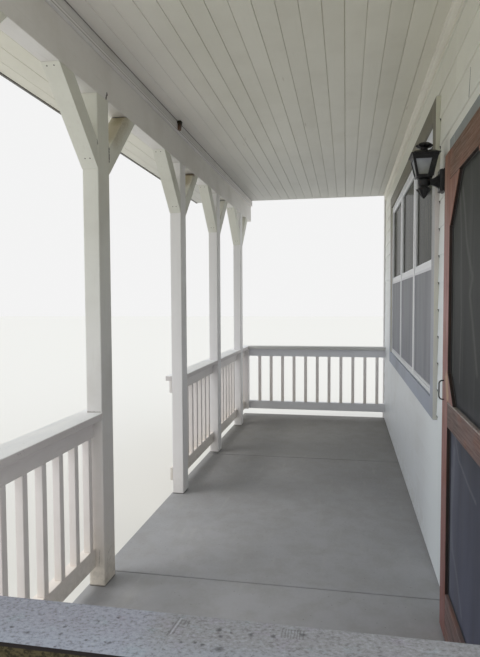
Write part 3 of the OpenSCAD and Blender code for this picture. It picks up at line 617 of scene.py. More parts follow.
def stud(centre, normal, radius, proud):
    """A round head with a soft rim that stands a little proud of a face."""
    out = Vector(normal).normalized()
    aside = Vector((0.0, 1.0, 0.0)) if abs(out.y) < 0.9 else Vector((1.0, 0.0, 0.0))
    side = out.cross(aside).normalized()
    up = out.cross(side)
    corners = []
    for rise, reach in ((-ROOT, 1.0), (proud * 0.6, 1.0), (proud, 0.7)):
        for i in range(SIDES):
            turn = math.tau * i / SIDES
            around = side * math.cos(turn) + up * math.sin(turn)
            corners.append(tuple(Vector(centre) + out * rise + around * radius * reach))
    ends = [list(range(SIDES)), list(range(2 * SIDES, 3 * SIDES))]
    return corners, ring_faces(((0, 1), (1, 2)), SIDES) + ends


print("a head has", 3 * SIDES, "corners")

# %% [markdown]
# ## Nails, filler and the moulding
# Two nails hold each end of a brace. Their heads were driven almost flush and have rusted dark. The near
# cap is made of two boards, and old filler and paint have closed the joint between them. The moulding that
# covers the joint of beam and ceiling is one flat strip, so thin bands by height give it the lines of its
# beads: painted highlights on their lower edges and painted shade between them and under the ceiling. A
# broken wedge of raw wood is left in the corner under the ceiling.

# %% Nails and moulding
post_boxes = [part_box(f"post_{number}") for number in range(1, 6)]
POST_CENTRES = [(low.x + high.x) / 2 for low, high in post_boxes]
HALF_POST = 0.07
BRACE_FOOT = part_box("braces")[0].z
NAIL_R, NAIL_PROUD = 0.0036, 0.0006
NAIL_ROWS = ((0.044, (-1.811, -1.784)), (0.376, (-1.827, -1.792)))
nail_heads = []
for centre in POST_CENTRES:
    for side in (1, -1):
        for climb, places in NAIL_ROWS:
            for y in places:
                spot = (centre + side * (HALF_POST + climb), y, BRACE_FOOT + climb)
                nail_heads.append(stud(spot, (side, 0.0, -1.0), NAIL_R, NAIL_PROUD))
rusty_nail = painted("rusty_nail", one_tone((0.17, 0.15, 0.12)), (0.20, 0.13, 0.08))
join_parts("brace_nails", nail_heads, rusty_nail)
SEAM_Y = -0.8
HALF_SEAM = 0.0045
FILLER_FOOT, FILLER_TOP = CAP_TOP - 0.02, CAP_TOP - 0.0003
filler = brick((CAP_EDGE - CAP_W + CAP_ROUND, SEAM_Y - HALF_SEAM, FILLER_FOOT),
               (CAP_EDGE - CAP_ROUND, SEAM_Y + HALF_SEAM, FILLER_TOP))
join_parts("cap_seam_filler", [filler], end_cap_paint_and_shade)
moulding_paint = painted("moulding_paint", one_tone((0.72, 0.70, 0.68)), GRIME, "X", soil=0.3)
# Painted light and shade: the pale bands are painted highlights on the beads' lower edges, the dark bands
# painted shade between them and under the ceiling.
MOULDING_HIGHLIGHTS_AND_SHADE = [(2.9615, 2.9665, (0.86, 0.84, 0.82)), (2.9695, 2.9735, (0.42, 0.40, 0.39)),
                  (2.9760, 2.9840, (0.84, 0.82, 0.80)), (2.9865, 2.9885, (0.46, 0.44, 0.43)),
                  (3.0330, 3.0385, (0.10, 0.09, 0.085))]
for line_foot, line_top, colour in MOULDING_HIGHLIGHTS_AND_SHADE:
    overlay(moulding_paint, height_band(line_foot, line_top, 0.85), colour)
dress("beam_moulding", moulding_paint, 0.0015)
inner_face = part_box("beam_moulding")[1].y
WEDGE_FOOT, WEDGE_TOP = 2.972, 3.0375
WEDGE_START, WEDGE_END = -0.012, 0.030
wedge_outline = [(inner_face - 0.004, WEDGE_FOOT), (inner_face + 0.014, WEDGE_FOOT),
                 (inner_face + 0.026, WEDGE_TOP), (inner_face - 0.004, WEDGE_TOP)]
RAW_TONES = [(2.975, (0.24, 0.15, 0.10)), (2.995, (0.13, 0.075, 0.050)),
             (3.015, (0.030, 0.027, 0.018)), (3.03, (0.020, 0.018, 0.012))]
raw_wood = painted("raw_wood", RAW_TONES, (0.10, 0.06, 0.04), "X", soil=0.4)
dull(raw_wood, 0.1)
join_parts("broken_wedge", [plank(wedge_outline, "X", WEDGE_START, WEDGE_END)], raw_wood, 0.001)
print("moulding dressed")

# %% [markdown]
# ## The board ceiling
# The ceiling is tongue-and-groove board run along the porch. Seen from below, only the V-shaped grooves
# show. They could be painted as dark lines, but a real groove catches light on one side and shade on the
# other, so every board gets its own mesh with chamfered long edges that meet in a V. Knots have bled
# through the paint here and there. Beside the beam the ceiling is made paler with painted light, and
# towards its far end it is darkened with painted shade.

# %% Ceiling and soffit boards
CEILING_W, CEILING_SEAM = 0.1044, -1.655
SOFFIT_W, SOFFIT_SEAM = 0.1105, -2.195
GROOVE = 0.0033
GROOVE_DEPTH = 1.4
HALF_JOINT = 0.0003
NARROWEST = 0.02
OPEN_SEAM = -1.237


def board_run(low, high, first_seam, width):
    """Boards along X that fill a flat box, with seams a board's width apart across Y."""
    inner_seams = [first_seam + i * width for i in range(-40, 41)]
    inner_seams = [y for y in inner_seams if low.y + NARROWEST < y < high.y - NARROWEST]
    seams = [low.y] + inner_seams + [high.y]
    fit = random.Random(7)
    wide = [1.5 if abs(y - OPEN_SEAM) < 0.04 else 1.0 for y in seams]
    grooves = [GROOVE * fit.uniform(0.55, 1.15) * share for share in wide]
    parts = []
    for y0, y1, left, right in zip(seams, seams[1:], grooves, grooves[1:]):
        start, end = y0 + HALF_JOINT, y1 - HALF_JOINT
        profile = [(y0 + left, low.z), (y1 - right, low.z), (end, low.z + right * GROOVE_DEPTH),
                   (end, high.z), (start, high.z), (start, low.z + left * GROOVE_DEPTH)]
        parts.append(plank(profile, "X", low.x, high.x))
    return parts


def knot_share(tree):
    """Where knots have bled through the paint: the hearts of stretched cells."""
    return between(tree, cell_distance(tree, (1.3, 9.5, 1.0)), 0.075, 0.03, 0.0, 0.40)


def painted_light_by_beam(tree):
    """Painted light: towards the beam the ceiling is made paler, against the shade that falls there."""
    y = coordinate(tree, "Y")
    towards = between(tree, y, -1.20, -1.72, 0.0, 0.8)
    return math_node(tree, "MULTIPLY", towards, between(tree, y, -1.84, -1.80))


CREAM = one_tone((0.785, 0.765, 0.665))
CREAM_GRIME = (0.50, 0.47, 0.38)
ceiling_paint = painted("ceiling_paint", CREAM, CREAM_GRIME, "X",
                        soil=0.16, streak=0.10, rough=0.5, relief=0.18)
overlay(ceiling_paint, knot_share, (0.40, 0.34, 0.24))
overlay(ceiling_paint, painted_light_by_beam, (0.94, 0.90, 0.845))
# Painted shade: the ceiling darkens towards its far end.
overlay(ceiling_paint, along_porch(0.6, -3.3, 0.5), (0.47, 0.47, 0.45))
overlay(ceiling_paint, along_porch(-0.4, -2.8, 0.5), (0.27, 0.27, 0.25))
ceiling_run = board_run(*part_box("ceiling"), CEILING_SEAM, CEILING_W)
ceiling = join_parts("ceiling_boards", ceiling_run, ceiling_paint)
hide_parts("ceiling")
soffit_run = board_run(*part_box("soffit"), SOFFIT_SEAM, SOFFIT_W)
soffit = join_parts("soffit_boards", soffit_run, ceiling_paint)
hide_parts("soffit")

# %% [markdown]
# ## Lap siding
# The house wall is clad in bevelled boards, each lapping over the one below it. A bump map would give the
# shade of the lap but not its notched outline beside the window. Here each board has its true wedge
# section, thin at the top and thick at its lower edge, and is cut where a casing or a corner board stands.

# %% Siding boards
LAP = 0.147
LAP_OVER = 0.01
LAP_EDGE_Z = 1.338
LAP_FOOT_T, LAP_TOP_T = 0.0075, 0.001
LAP_LIP = 0.004
WALL_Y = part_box("wall_middle_pier")[0].y
LAP_Y = WALL_Y - LAP_FOOT_T
CORNER_W = 0.12
SIDING_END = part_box("corner_boards")[1].x - CORNER_W
SIDING_FOOT, SIDING_TOP = FLOOR_Z + 0.002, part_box("ceiling")[0].z
THINNEST_STRIP = 0.004


def wedge(z0, z1, cut_low, cut_high):
    """Section of a lap board between two cuts: (depth, height) corners, thick at its foot."""
    def depth(z):
        return LAP_Y + (LAP_FOOT_T - LAP_TOP_T) * max(0.0, z - z0 - LAP_LIP) / (z1 - z0)
    z_low = max(z0, cut_low)
    z_high = min(z1, cut_high)
    return [(WALL_Y, z_low), (depth(z_low), z_low), (depth(z_high), z_high), (WALL_Y, z_high)]


def siding_courses(bottom, top, holes, left, right):
    """Lap boards from bottom to top, cut round holes given as (x0, x1, z0, z1)."""
    first = math.floor((bottom - LAP_EDGE_Z) / LAP)
    edges = sorted({left, right} | {x for hole in holes for x in hole[:2]})
    for course in range(first, math.ceil((top - LAP_EDGE_Z) / LAP)):
        z0 = LAP_EDGE_Z + course * LAP
        z1 = z0 + LAP + LAP_OVER
        for x0, x1 in zip(edges, edges[1:]):
            spans = [(max(z0, bottom), min(z1, top))]
            for hx0, hx1, hz0, hz1 in holes:
                if x0 >= hx0 - 1e-6 and x1 <= hx1 + 1e-6:
                    spans = [span for s0, s1 in spans for span in ((s0, min(s1, hz0)), (max(s0, hz1), s1))]
            for s0, s1 in spans:
                if s1 - s0 > THINNEST_STRIP:
                    yield plank(wedge(z0, z1, s0, s1), "X", x0, x1)


def light_by_entry(tree):
    """Painted light: beside the entry the lower wall is made paler and bluer, for the sky light from the
    near end.
    """
    low_down = between(tree, height(tree), 2.2, 1.6)
    return math_node(tree, "MULTIPLY", along_porch(0.2, 0.85, 0.85)(tree), low_down)


holes = []
for casing in ("window_casing", "door_casing"):
    low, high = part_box(casing)
    holes.append((low.x, high.x, low.z, high.z))
# Painted light and shade: bluish white low down, where sky light falls, and creamier and darker under the
# ceiling, in its shade.
SIDING_TONES = [(0.4, (0.80, 0.835, 0.88)), (1.3, (0.815, 0.845, 0.87)), (2.0, (0.82, 0.84, 0.825)),
                (2.7, (0.775, 0.765, 0.675))]
siding_paint = painted("siding_paint", SIDING_TONES, (0.50, 0.47, 0.40), "X",
                       soil=0.14, streak=0.10, rough=0.5, splash=0.35)
# Painted light beside the entry.
overlay(siding_paint, light_by_entry, (0.92, 0.97, 1.0))
courses = list(siding_courses(SIDING_FOOT, SIDING_TOP, holes, -SIDING_END, SIDING_END))
siding = join_parts("siding_boards", courses, siding_paint, 0.0008)
INDOORS = one_tone((0.77, 0.76, 0.73))
wall_paint = painted("indoor_wall_paint", INDOORS, (0.60, 0.58, 0.54), "Z", soil=0.12, streak=0.05)
for name in nodes:
    if name.startswith("wall_") and name != "wall_crown":
        dress(name, wall_paint, 0.0)

# %% [markdown]
# ## Gaps at the laps
# The lap boards butt against the window's casing without sealant. Under the thick foot of each board a
# small wedge is left open, and from the near end it shows as a dark notch. Nothing but shade lies behind
# it, so a dark wedge set in the gap is as true as a hole through the wall. One board over the door is made
# of two pieces, with an open butt joint.

# %% Lap gaps
window_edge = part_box("window_casing")[1].x
GAPS_FROM, GAPS_TO = 1.03, 2.75
GAP_W, GAP_DEEP = 0.004, 0.022
BUTT_COURSE, BUTT_X, BUTT_W = 8, 1.642, 0.006
gaps = []
first = math.ceil((GAPS_FROM - LAP_EDGE_Z) / LAP)
for course in range(first, math.ceil((GAPS_TO - LAP_EDGE_Z) / LAP)):
    foot = LAP_EDGE_Z + course * LAP
    outline = [(LAP_Y - 0.0012, foot + 0.001), (WALL_Y, foot + 0.001), (WALL_Y, foot - GAP_DEEP)]
    gaps.append(plank(outline, "X", window_edge - 0.0002, window_edge + GAP_W))
butt_foot = LAP_EDGE_Z + BUTT_COURSE * LAP + 0.002
butt_top = LAP_EDGE_Z + BUTT_COURSE * LAP + LAP - 0.004
outline = [(LAP_Y - 0.0008, butt_foot), (WALL_Y - 0.0016, butt_top),
           (WALL_Y, butt_top), (WALL_Y, butt_foot)]
gaps.append(plank(outline, "X", BUTT_X, BUTT_X + BUTT_W))
shade = painted("gap_shade", one_tone((0.030, 0.030, 0.026)), (0.06, 0.055, 0.045))
join_parts("siding_gaps", gaps, shade)

# %% [markdown]
# ## Gable ends
# The triangles that close the roof space at both ends are clad like the wall. Their boards shorten course
# by course under the sloping roof, so each one is cut to the slope at its own height.

# %% Gable siding
deck_low, deck_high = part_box("roof_deck")
gable_low, gable_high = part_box("gable_infills")
SLOPE = math.tan(math.radians(14.0))
SLOPE_SPACE = 0.04
GABLE_TIP = 0.03
WALL_SPACE = 0.003


def gable_courses(side):
    """Lap boards on one gable, cut to the roof slope. side is 1 at the near end and -1 at the far one."""
    face = gable_high.x if side > 0 else gable_low.x
    z0 = gable_low.z
    while z0 < gable_high.z - GABLE_TIP:
        z1 = min(z0 + LAP + LAP_OVER, gable_high.z)
        cut_z = z0 if z1 == gable_high.z else z1
        start = gable_high.y - (gable_high.z - cut_z) / SLOPE + SLOPE_SPACE
        profile = [(face, z0), (face + side * LAP_FOOT_T, z0), (face + side * LAP_TOP_T, z1), (face, z1)]
        yield plank(profile, "Y", max(start, gable_low.y), gable_high.y - WALL_SPACE)
        z0 += LAP


gable = join_parts("gable_siding", [*gable_courses(1), *gable_courses(-1)], siding_paint)
dress("gable_infills", siding_paint, 0.0)
dress("foundation", siding_paint, 0.0)

# %% [markdown]
# ## The shingle roof
# The roof is seen only from outside and above, so plain three-tab shingles do: rows of tabs, each row
# lapping the one below it, with joints staggered by half a tab. They are true slabs on a plain deck, so
# the eave and the rows show in the outline.

# %% Shingles
TAB_W = 0.305
TAB_SLIT = 0.006
ROW = 0.142
ROW_OVER = 0.01
SHINGLE_T = 0.007


def deck_under(y):
    """Height of the roof deck's underside at a place across the porch."""
    return deck_low.z + (y - deck_low.y) * SLOPE


def roof_parts():
    """A sloping deck and its rows of shingle tabs, inside the CAD deck's own thickness."""
    base = deck_high.z - deck_under(deck_high.y) - 2 * SHINGLE_T
    y0, y1 = deck_low.y, deck_high.y
    under = [(y0, deck_under(y0)), (y1, deck_under(y1))]
    top = [(y1, deck_under(y1) + base), (y0, deck_under(y0) + base)]
    yield plank(under + top, "X", deck_low.x, deck_high.x)
    for row in range(math.ceil((y1 - y0) / ROW)):
        foot = y0 + row * ROW
        head = min(foot + ROW + ROW_OVER, y1)
        foot_z, head_z = deck_under(foot) + base, deck_under(head) + base
        profile = [(foot, foot_z), (foot, foot_z + 1.6 * SHINGLE_T),
                   (head, head_z + 0.5 * SHINGLE_T), (head, head_z)]
        x = deck_low.x - (row % 2) * TAB_W / 2
        while x < deck_high.x:
            left = max(x + TAB_SLIT / 2, deck_low.x)
            right = min(x + TAB_W - TAB_SLIT / 2, deck_high.x)
            if right - left > NARROWEST:
                yield plank(profile, "X", left, right)
            x += TAB_W


def shingle_grit(name):
    """Mineral granules: grey-brown, with a tone for each tab."""
    material, tree, shader = new_finish(name)
    grit = noise(tree, 420.0, 2.0, 0.8)
    tab = mix_colour(tree, board_number(tree), (0.10, 0.095, 0.09), (0.17, 0.155, 0.14))
    gritty = mix_colour(tree, between(tree, grit, 0.4, 0.7), tab, (0.24, 0.23, 0.22))
    tree.links.new(gritty, shader.inputs["Base Color"])
    shader.inputs["Roughness"].default_value = 0.95
    bump(tree, shader, grit, 0.6, 0.002)
    return material


roof = join_parts("roof_shingles", list(roof_parts()), shingle_grit("shingle_grit"))
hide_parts("roof_deck")
FASCIA_TONES = [(3.0, (0.125, 0.118, 0.105)), (3.8, (0.11, 0.10, 0.09))]
fascia_paint = painted("fascia_paint", FASCIA_TONES, (0.17, 0.15, 0.12), "X", soil=0.5)
dress("fascia_boards", fascia_paint, 0.002)

# %% [markdown]
# ## The floor slab
# The floor is concrete, sealed with thin grey paint and swept by shoes for years. Its look comes from
# clouds of wear at several sizes, tiny dark pits, and painted shade that darkens it towards the far end.

# %% Concrete
def worn_concrete(name):
    """Painted concrete with clouds, pits and faint scuffs."""
    material, tree, shader = new_finish(name)
    broad = between(tree, noise(tree, 0.9, 6.0, 0.6), 0.32, 0.70)
    middle = between(tree, noise(tree, 6.0, 6.0, 0.65), 0.38, 0.68)
    fine = noise(tree, 60.0, 5.0, 0.7)
    base = mix_colour(tree, broad, (0.345, 0.347, 0.362), (0.436, 0.438, 0.460))
    worn = mix_colour(tree, math_node(tree, "MULTIPLY", middle, 0.35), base, (0.300, 0.290, 0.272))
    pits = between(tree, cell_distance(tree, (22.0, 22.0, 22.0)), 0.10, 0.04, 0.0, 0.55)
    scuffs = between(tree, noise(tree, 14.0, 3.0, 0.5, "X", 6.0), 0.60, 0.74, 0.0, 0.30)
    scuffed = mix_colour(tree, scuffs, worn, (0.47, 0.47, 0.46))
    # Painted shade: the slab darkens towards the far end.
    far_end = between(tree, coordinate(tree, "X"), 1.6, -3.2)
    far_shade = mix_colour(tree, far_end, scuffed, (0.53, 0.51, 0.455), "MULTIPLY")
    tree.links.new(mix_colour(tree, pits, far_shade, (0.16, 0.15, 0.14)), shader.inputs["Base Color"])
    tree.links.new(between(tree, fine, 0.3, 0.7, 0.55, 0.78), shader.inputs["Roughness"])
    bump(tree, shader, fine, 0.3, 0.0015)
    return material


dress("slab", worn_concrete("worn_concrete"), 0.004)
print("slab dressed")

# %% [markdown]
# ## Casings
# Flat grey boards frame the window and the door. Their faces are grey and their outer edges cream. The
# greys are bluer low down, as painted sky light, and all the tones are darker under the ceiling, the
# window's also more olive, as painted shade. Two finishes on one board need two material slots, and the
# face's own direction says which one it takes.

# %% Casing boards
# Painted light and shade in the tones by height: bluer low down, darker near the top.
WINDOW_GREYS = [(1.0, (0.34, 0.385, 0.49)), (1.8, (0.37, 0.375, 0.40)), (2.30, (0.34, 0.335, 0.315)),
                (2.50, (0.138, 0.122, 0.076)), (2.75, (0.120, 0.106, 0.062))]
DOOR_GREYS = [(0.2, (0.34, 0.36, 0.42)), (2.0, (0.33, 0.345, 0.37)), (2.31, (0.235, 0.262, 0.262)),
              (2.43, (0.245, 0.268, 0.262))]
EDGE_CREAMS = [(1.1, (0.64, 0.64, 0.60)), (1.7, (0.72, 0.70, 0.61)), (2.1, (0.74, 0.69, 0.67)),
               (2.33, (0.68, 0.635, 0.60)), (2.45, (0.61, 0.605, 0.50)), (2.7, (0.60, 0.60, 0.48))]
window_grey = painted("trim_grey_paint", WINDOW_GREYS, (0.28, 0.26, 0.23), "Z", soil=0.25, streak=0.15)
door_grey = painted("door_trim_paint", DOOR_GREYS, (0.20, 0.19, 0.16), "Z", soil=0.3, streak=0.15)
edge_cream = painted("edge_cream_paint", EDGE_CREAMS, GRIME, "Z", soil=0.25)


def cream_edges(piece):
    """The outward edges of a casing take the cream paint: faces that look along X."""
    piece.data.materials.append(edge_cream)
    for face in piece.data.polygons:
        face.material_index = 1 if abs(face.normal.x) > 0.9 else 0
    return piece


def frame_boards(low, high, width, foot=True):
    """Butted boards round an opening: two sides at full height, head and foot between them."""
    parts = [brick((low.x, low.y, low.z), (low.x + width, high.y, high.z)),
             brick((high.x - width, low.y, low.z), (high.x, high.y, high.z)),
             brick((low.x + width, low.y, high.z - width), (high.x - width, high.y, high.z))]
    if foot:
        parts.append(brick((low.x + width, low.y, low.z), (high.x - width, high.y, low.z + width)))
    return parts


CASING_W = 0.11
JAMB_T = 0.02
CASING_ROUND = 0.0015
window_parts = frame_boards(*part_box("window_casing"), CASING_W)
window_trim = cream_edges(join_parts("window_casing_boards", window_parts, window_grey, CASING_ROUND))
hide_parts("window_casing")
low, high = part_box("door_casing")
face_high = Vector((high.x, WALL_Y, high.z))
opening_low = Vector((low.x + CASING_W, low.y, low.z))
opening_high = Vector((high.x - CASING_W, high.y, high.z - CASING_W))
door_parts = frame_boards(low, face_high, CASING_W, foot=False)
door_parts += frame_boards(opening_low, opening_high, JAMB_T, foot=False)
door_trim = cream_edges(join_parts("door_casing_boards", door_parts, door_grey, CASING_ROUND))
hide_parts("door_casing")

# %% [markdown]
# ## The triple window
# Three double-hung units stand side by side in white vinyl. Vinyl is smooth and even, so it needs little: a
# satin sheen and a trace of dust. The panes look into a dim room, and that dimness is painted shade: a dark
# colour in the glass. A clean pane would mirror the pale studio and turn white, which the real ones don't,
# so the glass here is dusty, with a low index of refraction. Pale upright lines are the slats of a blind
# behind the near pane.

# %% Window finishes
def vinyl_finish(name, colour=(0.80, 0.81, 0.83)):
    """Smooth white vinyl with a little dust."""
    material, tree, shader = new_finish(name)
    dust = between(tree, noise(tree, 5.0, 5.0, 0.6), 0.45, 0.75, 0.0, 0.25)
    tree.links.new(mix_colour(tree, dust, colour, (0.60, 0.59, 0.57)), shader.inputs["Base Color"])
    shader.inputs["Roughness"].default_value = 0.38
    return material


SLAT_STEP = 0.077


def pane_finish(name):
    """Dusty window glass, dark with the painted shade of the dim room behind it, with a blind's slats
    behind it.
    """
    material, tree, shader = new_finish(name)
    dust = between(tree, noise(tree, 7.0, 6.0, 0.65, "Z", 3.0), 0.35, 0.75)
    wave = math_node(tree, "SINE", math_node(tree, "MULTIPLY", coordinate(tree, "X"), math.tau / SLAT_STEP))
    fading = between(tree, noise(tree, 2.6, 3.0, 0.6), 0.42, 0.60, 0.0, 0.5)
    slats = math_node(tree, "MULTIPLY", between(tree, wave, 0.86, 0.99), fading)
    # Painted shade: the dark colour of the glass is the dim room behind it.
    dim = mix_colour(tree, dust, (0.016, 0.018, 0.008), (0.048, 0.050, 0.033))
    tree.links.new(mix_colour(tree, slats, dim, (0.24, 0.25, 0.19)), shader.inputs["Base Color"])
    shader.inputs["Roughness"].default_value = 0.12
    shader.inputs["IOR"].default_value = 1.03
    return material


def screen_cloth(name, stops, gap_alpha, streak_colour, streaks):
    """Fine woven cloth, from far enough away an even veil with painted shade in its folds and dusty
    streaks.
    """
    material, tree, shader = new_finish(name)
    weave = noise(tree, 240.0, 2.0, 0.6)
    # Painted shade: the folds are darker.
    folds = between(tree, noise(tree, 5.0, 4.0, 0.6, "Z", 6.0), 0.35, 0.7, 0.0, 0.5)
    veil = mix_colour(tree, folds, tones(tree, stops), (0.60, 0.60, 0.60), "MULTIPLY")
    lines = between(tree, noise(tree, 20.0, 4.0, 0.6, "Z", 14.0), 0.52, 0.74, 0.0, streaks)
    tree.links.new(mix_colour(tree, lines, veil, streak_colour), shader.inputs["Base Color"])
    shader.inputs["Roughness"].default_value = 0.7
    shader.inputs["Alpha"].default_value = gap_alpha
    bump(tree, shader, weave, 0.4, 0.001)
    return material


vinyl = vinyl_finish("window_vinyl")
dress("window_frame", vinyl, 0.002)
dress("window_sashes", vinyl, 0.002)
dress("window_glass", pane_finish("pane_glass"), 0.0)
print("window dressed")

# %% [markdown]
# ## Insect screens
# A grey cloth in a narrow white frame hangs in front of each lower sash. Frame and cloth are different
# things, so the flat CAD solids are replaced by four bars and a taut sheet for each unit.

# %% Screen frames and cloth
screens_low, screens_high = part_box("insect_screens")
UNITS = 3
MULLION = 0.064
SCREEN_BAR = 0.018
SEAT = 0.0003
CLOTH_TUCK = 0.003
CLOTH_FRONT, CLOTH_BACK = 0.0045, 0.0055
unit_w = (screens_high.x - screens_low.x + 2 * SEAT - 2 * MULLION) / UNITS
bars, cloths = [], []
for unit in range(UNITS):
    left = screens_low.x + unit * (unit_w + MULLION)
    low = Vector((left, screens_low.y, screens_low.z))
    high = Vector((left + unit_w - 2 * SEAT, screens_high.y, screens_high.z))
    bars += frame_boards(low, high, SCREEN_BAR)
    inset = SCREEN_BAR - CLOTH_TUCK
    cloths.append(brick((low.x + inset, low.y + CLOTH_FRONT, low.z + inset),
                        (high.x - inset, low.y + CLOTH_BACK, high.z - inset)))
bar_paint = vinyl_finish("screen_bar_paint", (0.66, 0.66, 0.70))
screen_bars = join_parts("insect_screen_frames", bars, bar_paint, 0.0015)
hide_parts("insect_screens")
GREY_CLOTH = [(1.1, (0.315, 0.325, 0.365)), (1.9, (0.34, 0.345, 0.37))]
cloth_grey = screen_cloth("screen_cloth", GREY_CLOTH, 0.96, (0.36, 0.37, 0.40), 0.3)
join_parts("insect_screen_cloth", cloths, cloth_grey)

# %% [markdown]
# ## Stained wood
# The screen door is softwood under red-brown stain that the weather has taken off in places. The grain
# runs along each stile and rail. A wave pattern would give rings too regular to be wood. Noise drawn out
# along the grain is freer: a coarse one gives the growth rings and a fine one the fibres. Patches of olive,
# rust and bare grey show how the stain has aged. Every board has its own piece of grain.

# %% Stain recipe
def stained(name, grain, stops, worn=0.20, blotch=(0.25, 0.105, 0.065)):
    """Weathered red-brown stain with grain along an axis and tones by height."""
    material, tree, shader = new_finish(name)
    fibres = noise(tree, 150.0, 6.0, 0.65, grain, 30.0)
    rings = noise(tree, 16.0, 3.0, 0.5, grain, 14.0)
    wear = between(tree, noise(tree, 7.0, 6.0, 0.65, grain, 3.0), 0.50, 0.72, 0.0, worn)
    patches = noise(tree, 12.0, 5.0, 0.6, grain, 1.8)
    rust = between(tree, patches, 0.50, 0.64, 0.0, 0.45)
    olive = between(tree, patches, 0.46, 0.34, 0.0, 0.45)
    ring_share = between(tree, rings, 0.38, 0.66, 0.0, 0.5)
    stain = mix_colour(tree, ring_share, tones(tree, stops), (0.70, 0.66, 0.64), "MULTIPLY")
    greyed = mix_colour(tree, olive, stain, (0.60, 0.68, 0.62), "MULTIPLY")
    blotched = mix_colour(tree, rust, greyed, blotch)
    fibre_share = between(tree, fibres, 0.48, 0.72, 0.0, 0.55)
    lined = mix_colour(tree, fibre_share, blotched, (0.50, 0.48, 0.48), "MULTIPLY")
    tree.links.new(mix_colour(tree, wear, lined, (0.34, 0.25, 0.23)), shader.inputs["Base Color"])
    tree.links.new(between(tree, fibres, 0.3, 0.7, 0.42, 0.68), shader.inputs["Roughness"])
    shader.inputs["Specular IOR Level"].default_value = 0.3
    bump(tree, shader, fibres, 0.45, 0.0015)
    return material


STAIN_UP = [(0.3, (0.30, 0.140, 0.132)), (1.2, (0.355, 0.178, 0.165)), (1.6, (0.42, 0.215, 0.205)),
            (1.9, (0.36, 0.175, 0.155)), (2.1, (0.265, 0.113, 0.072)), (2.25, (0.215, 0.092, 0.048))]
STAIN_ACROSS = [(0.3, (0.210, 0.145, 0.140)), (1.18, (0.175, 0.112, 0.102)), (2.15, (0.175, 0.080, 0.042)),
                (2.33, (0.140, 0.068, 0.034))]
stain_up = stained("stain_upright", "Z", STAIN_UP)
stain_across = stained("stain_across", "X", STAIN_ACROSS)
print("stains ready")

# %% [markdown]
# ## The screen door
# A screen door is a frame of two stiles and three rails with wire mesh in its two panels, and slanting
# braces in the corners of the upper one. The CAD solid is one flat shape. Here it becomes the boards
# that a joiner would use, so that the grain can turn at each joint and a fine line shows between them.

# %% Door frame boards
door_low, door_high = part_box("screen_door")
DOOR_BODY = "screen_door_leaf"
DOOR_ROUND = 0.003
STILE_W = 0.13
HEAD_H = 0.128
MID_LOW = FLOOR_Z + 0.974
MID_HIGH = MID_LOW + 0.110
FOOT_H = 0.207
FOOT_TOP = door_low.z + FOOT_H
HEAD_FOOT = door_high.z - HEAD_H
JOINT = 0.0006
x0, x1 = door_low.x, door_high.x
y0, y1 = door_low.y, door_high.y
inner = (x0 + STILE_W, x1 - STILE_W)
uprights = [brick((x0, y0, door_low.z), (inner[0], y1, door_high.z)),
            brick((inner[1], y0, door_low.z), (x1, y1, door_high.z))]
rails = [brick((inner[0] + JOINT, y0, low_z), (inner[1] - JOINT, y1, high_z))
         for low_z, high_z in ((door_low.z, FOOT_TOP), (MID_LOW, MID_HIGH), (HEAD_FOOT, door_high.z))]
stiles = join_parts("screen_door_stiles", uprights, stain_up, DOOR_ROUND, DOOR_BODY, 2)
rail_piece = join_parts("screen_door_rails", rails, stain_across, DOOR_ROUND, DOOR_BODY, 2)
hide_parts("screen_door")

# %% [markdown]
# ## Dark reveals
# The inner edges of the stiles are near black: old dark stain that sun and rain never reach, together with
# painted shade. Along the top edge of the middle rail lies a pale line of dust and painted highlight. The
# edges are told from the faces by the way they look, as the casings' edges are. The dust and highlight are
# a speckled line by height. Where hands reach past the pull, the stain on the stile has rubbed off down to
# yellow wood.

# %% Reveals, dust and hand wear
# Stain and painted shade for the reveals.
REVEAL_STAIN_AND_SHADE_TONES = [(0.3, (0.035, 0.026, 0.024)), (2.3, (0.040, 0.027, 0.022))]
reveal_stain_and_shade = stained("reveal_stain_and_shade", "Z", REVEAL_STAIN_AND_SHADE_TONES, 0.0, (0.06, 0.030, 0.020))


def darken_reveals(piece):
    """Gives the dark stain and painted shade to the edges that bound the door's openings, but for those
    that look up.
    """
    piece.data.materials.append(reveal_stain_and_shade)
    for face in piece.data.polygons:
        inside = inner[0] - DOOR_ROUND < face.center.x < inner[1] + DOOR_ROUND
        edge = abs(face.normal.y) < 0.5 and (face.normal.z < 0.9 or piece.name == "screen_door_braces")
        face.material_index = 1 if inside and edge else 0


def rail_dust_and_highlight(tree):
    """Specks of dust and painted highlight along the top edge of the middle rail."""
    away = math_node(tree, "ABSOLUTE", math_node(tree, "SUBTRACT", height(tree), MID_HIGH))
    specks = between(tree, noise(tree, 120.0, 3.0, 0.7), 0.38, 0.56, 0.15, 0.8)
    return math_node(tree, "MULTIPLY", between(tree, away, 0.007, 0.002), specks)


darken_reveals(stiles)
darken_reveals(rail_piece)
overlay(stain_across, rail_dust_and_highlight, (0.50, 0.47, 0.44))
HAND_WEAR = [((1.545, -0.057, 1.335), (1.575, -0.057, 1.262), 0.045)]
overlay(stain_up, share_of_marks(HAND_WEAR, 0.03, 0.2, 0.75), (0.56, 0.41, 0.26))
print("reveals darkened")

# %% [markdown]
# ## Corner braces
# Each brace is a board cut at 45 degrees that fills a corner of the upper panel and keeps the door from
# sagging. Its ends are blunt, as a saw leaves them, because a feather edge would split. The grain runs
# upright on the real ones, so the stiles' stain serves here too.

# %% Brace shapes
BRACE_END = 0.008
HEAD_BRACE = 0.20
MID_BRACE = 0.126


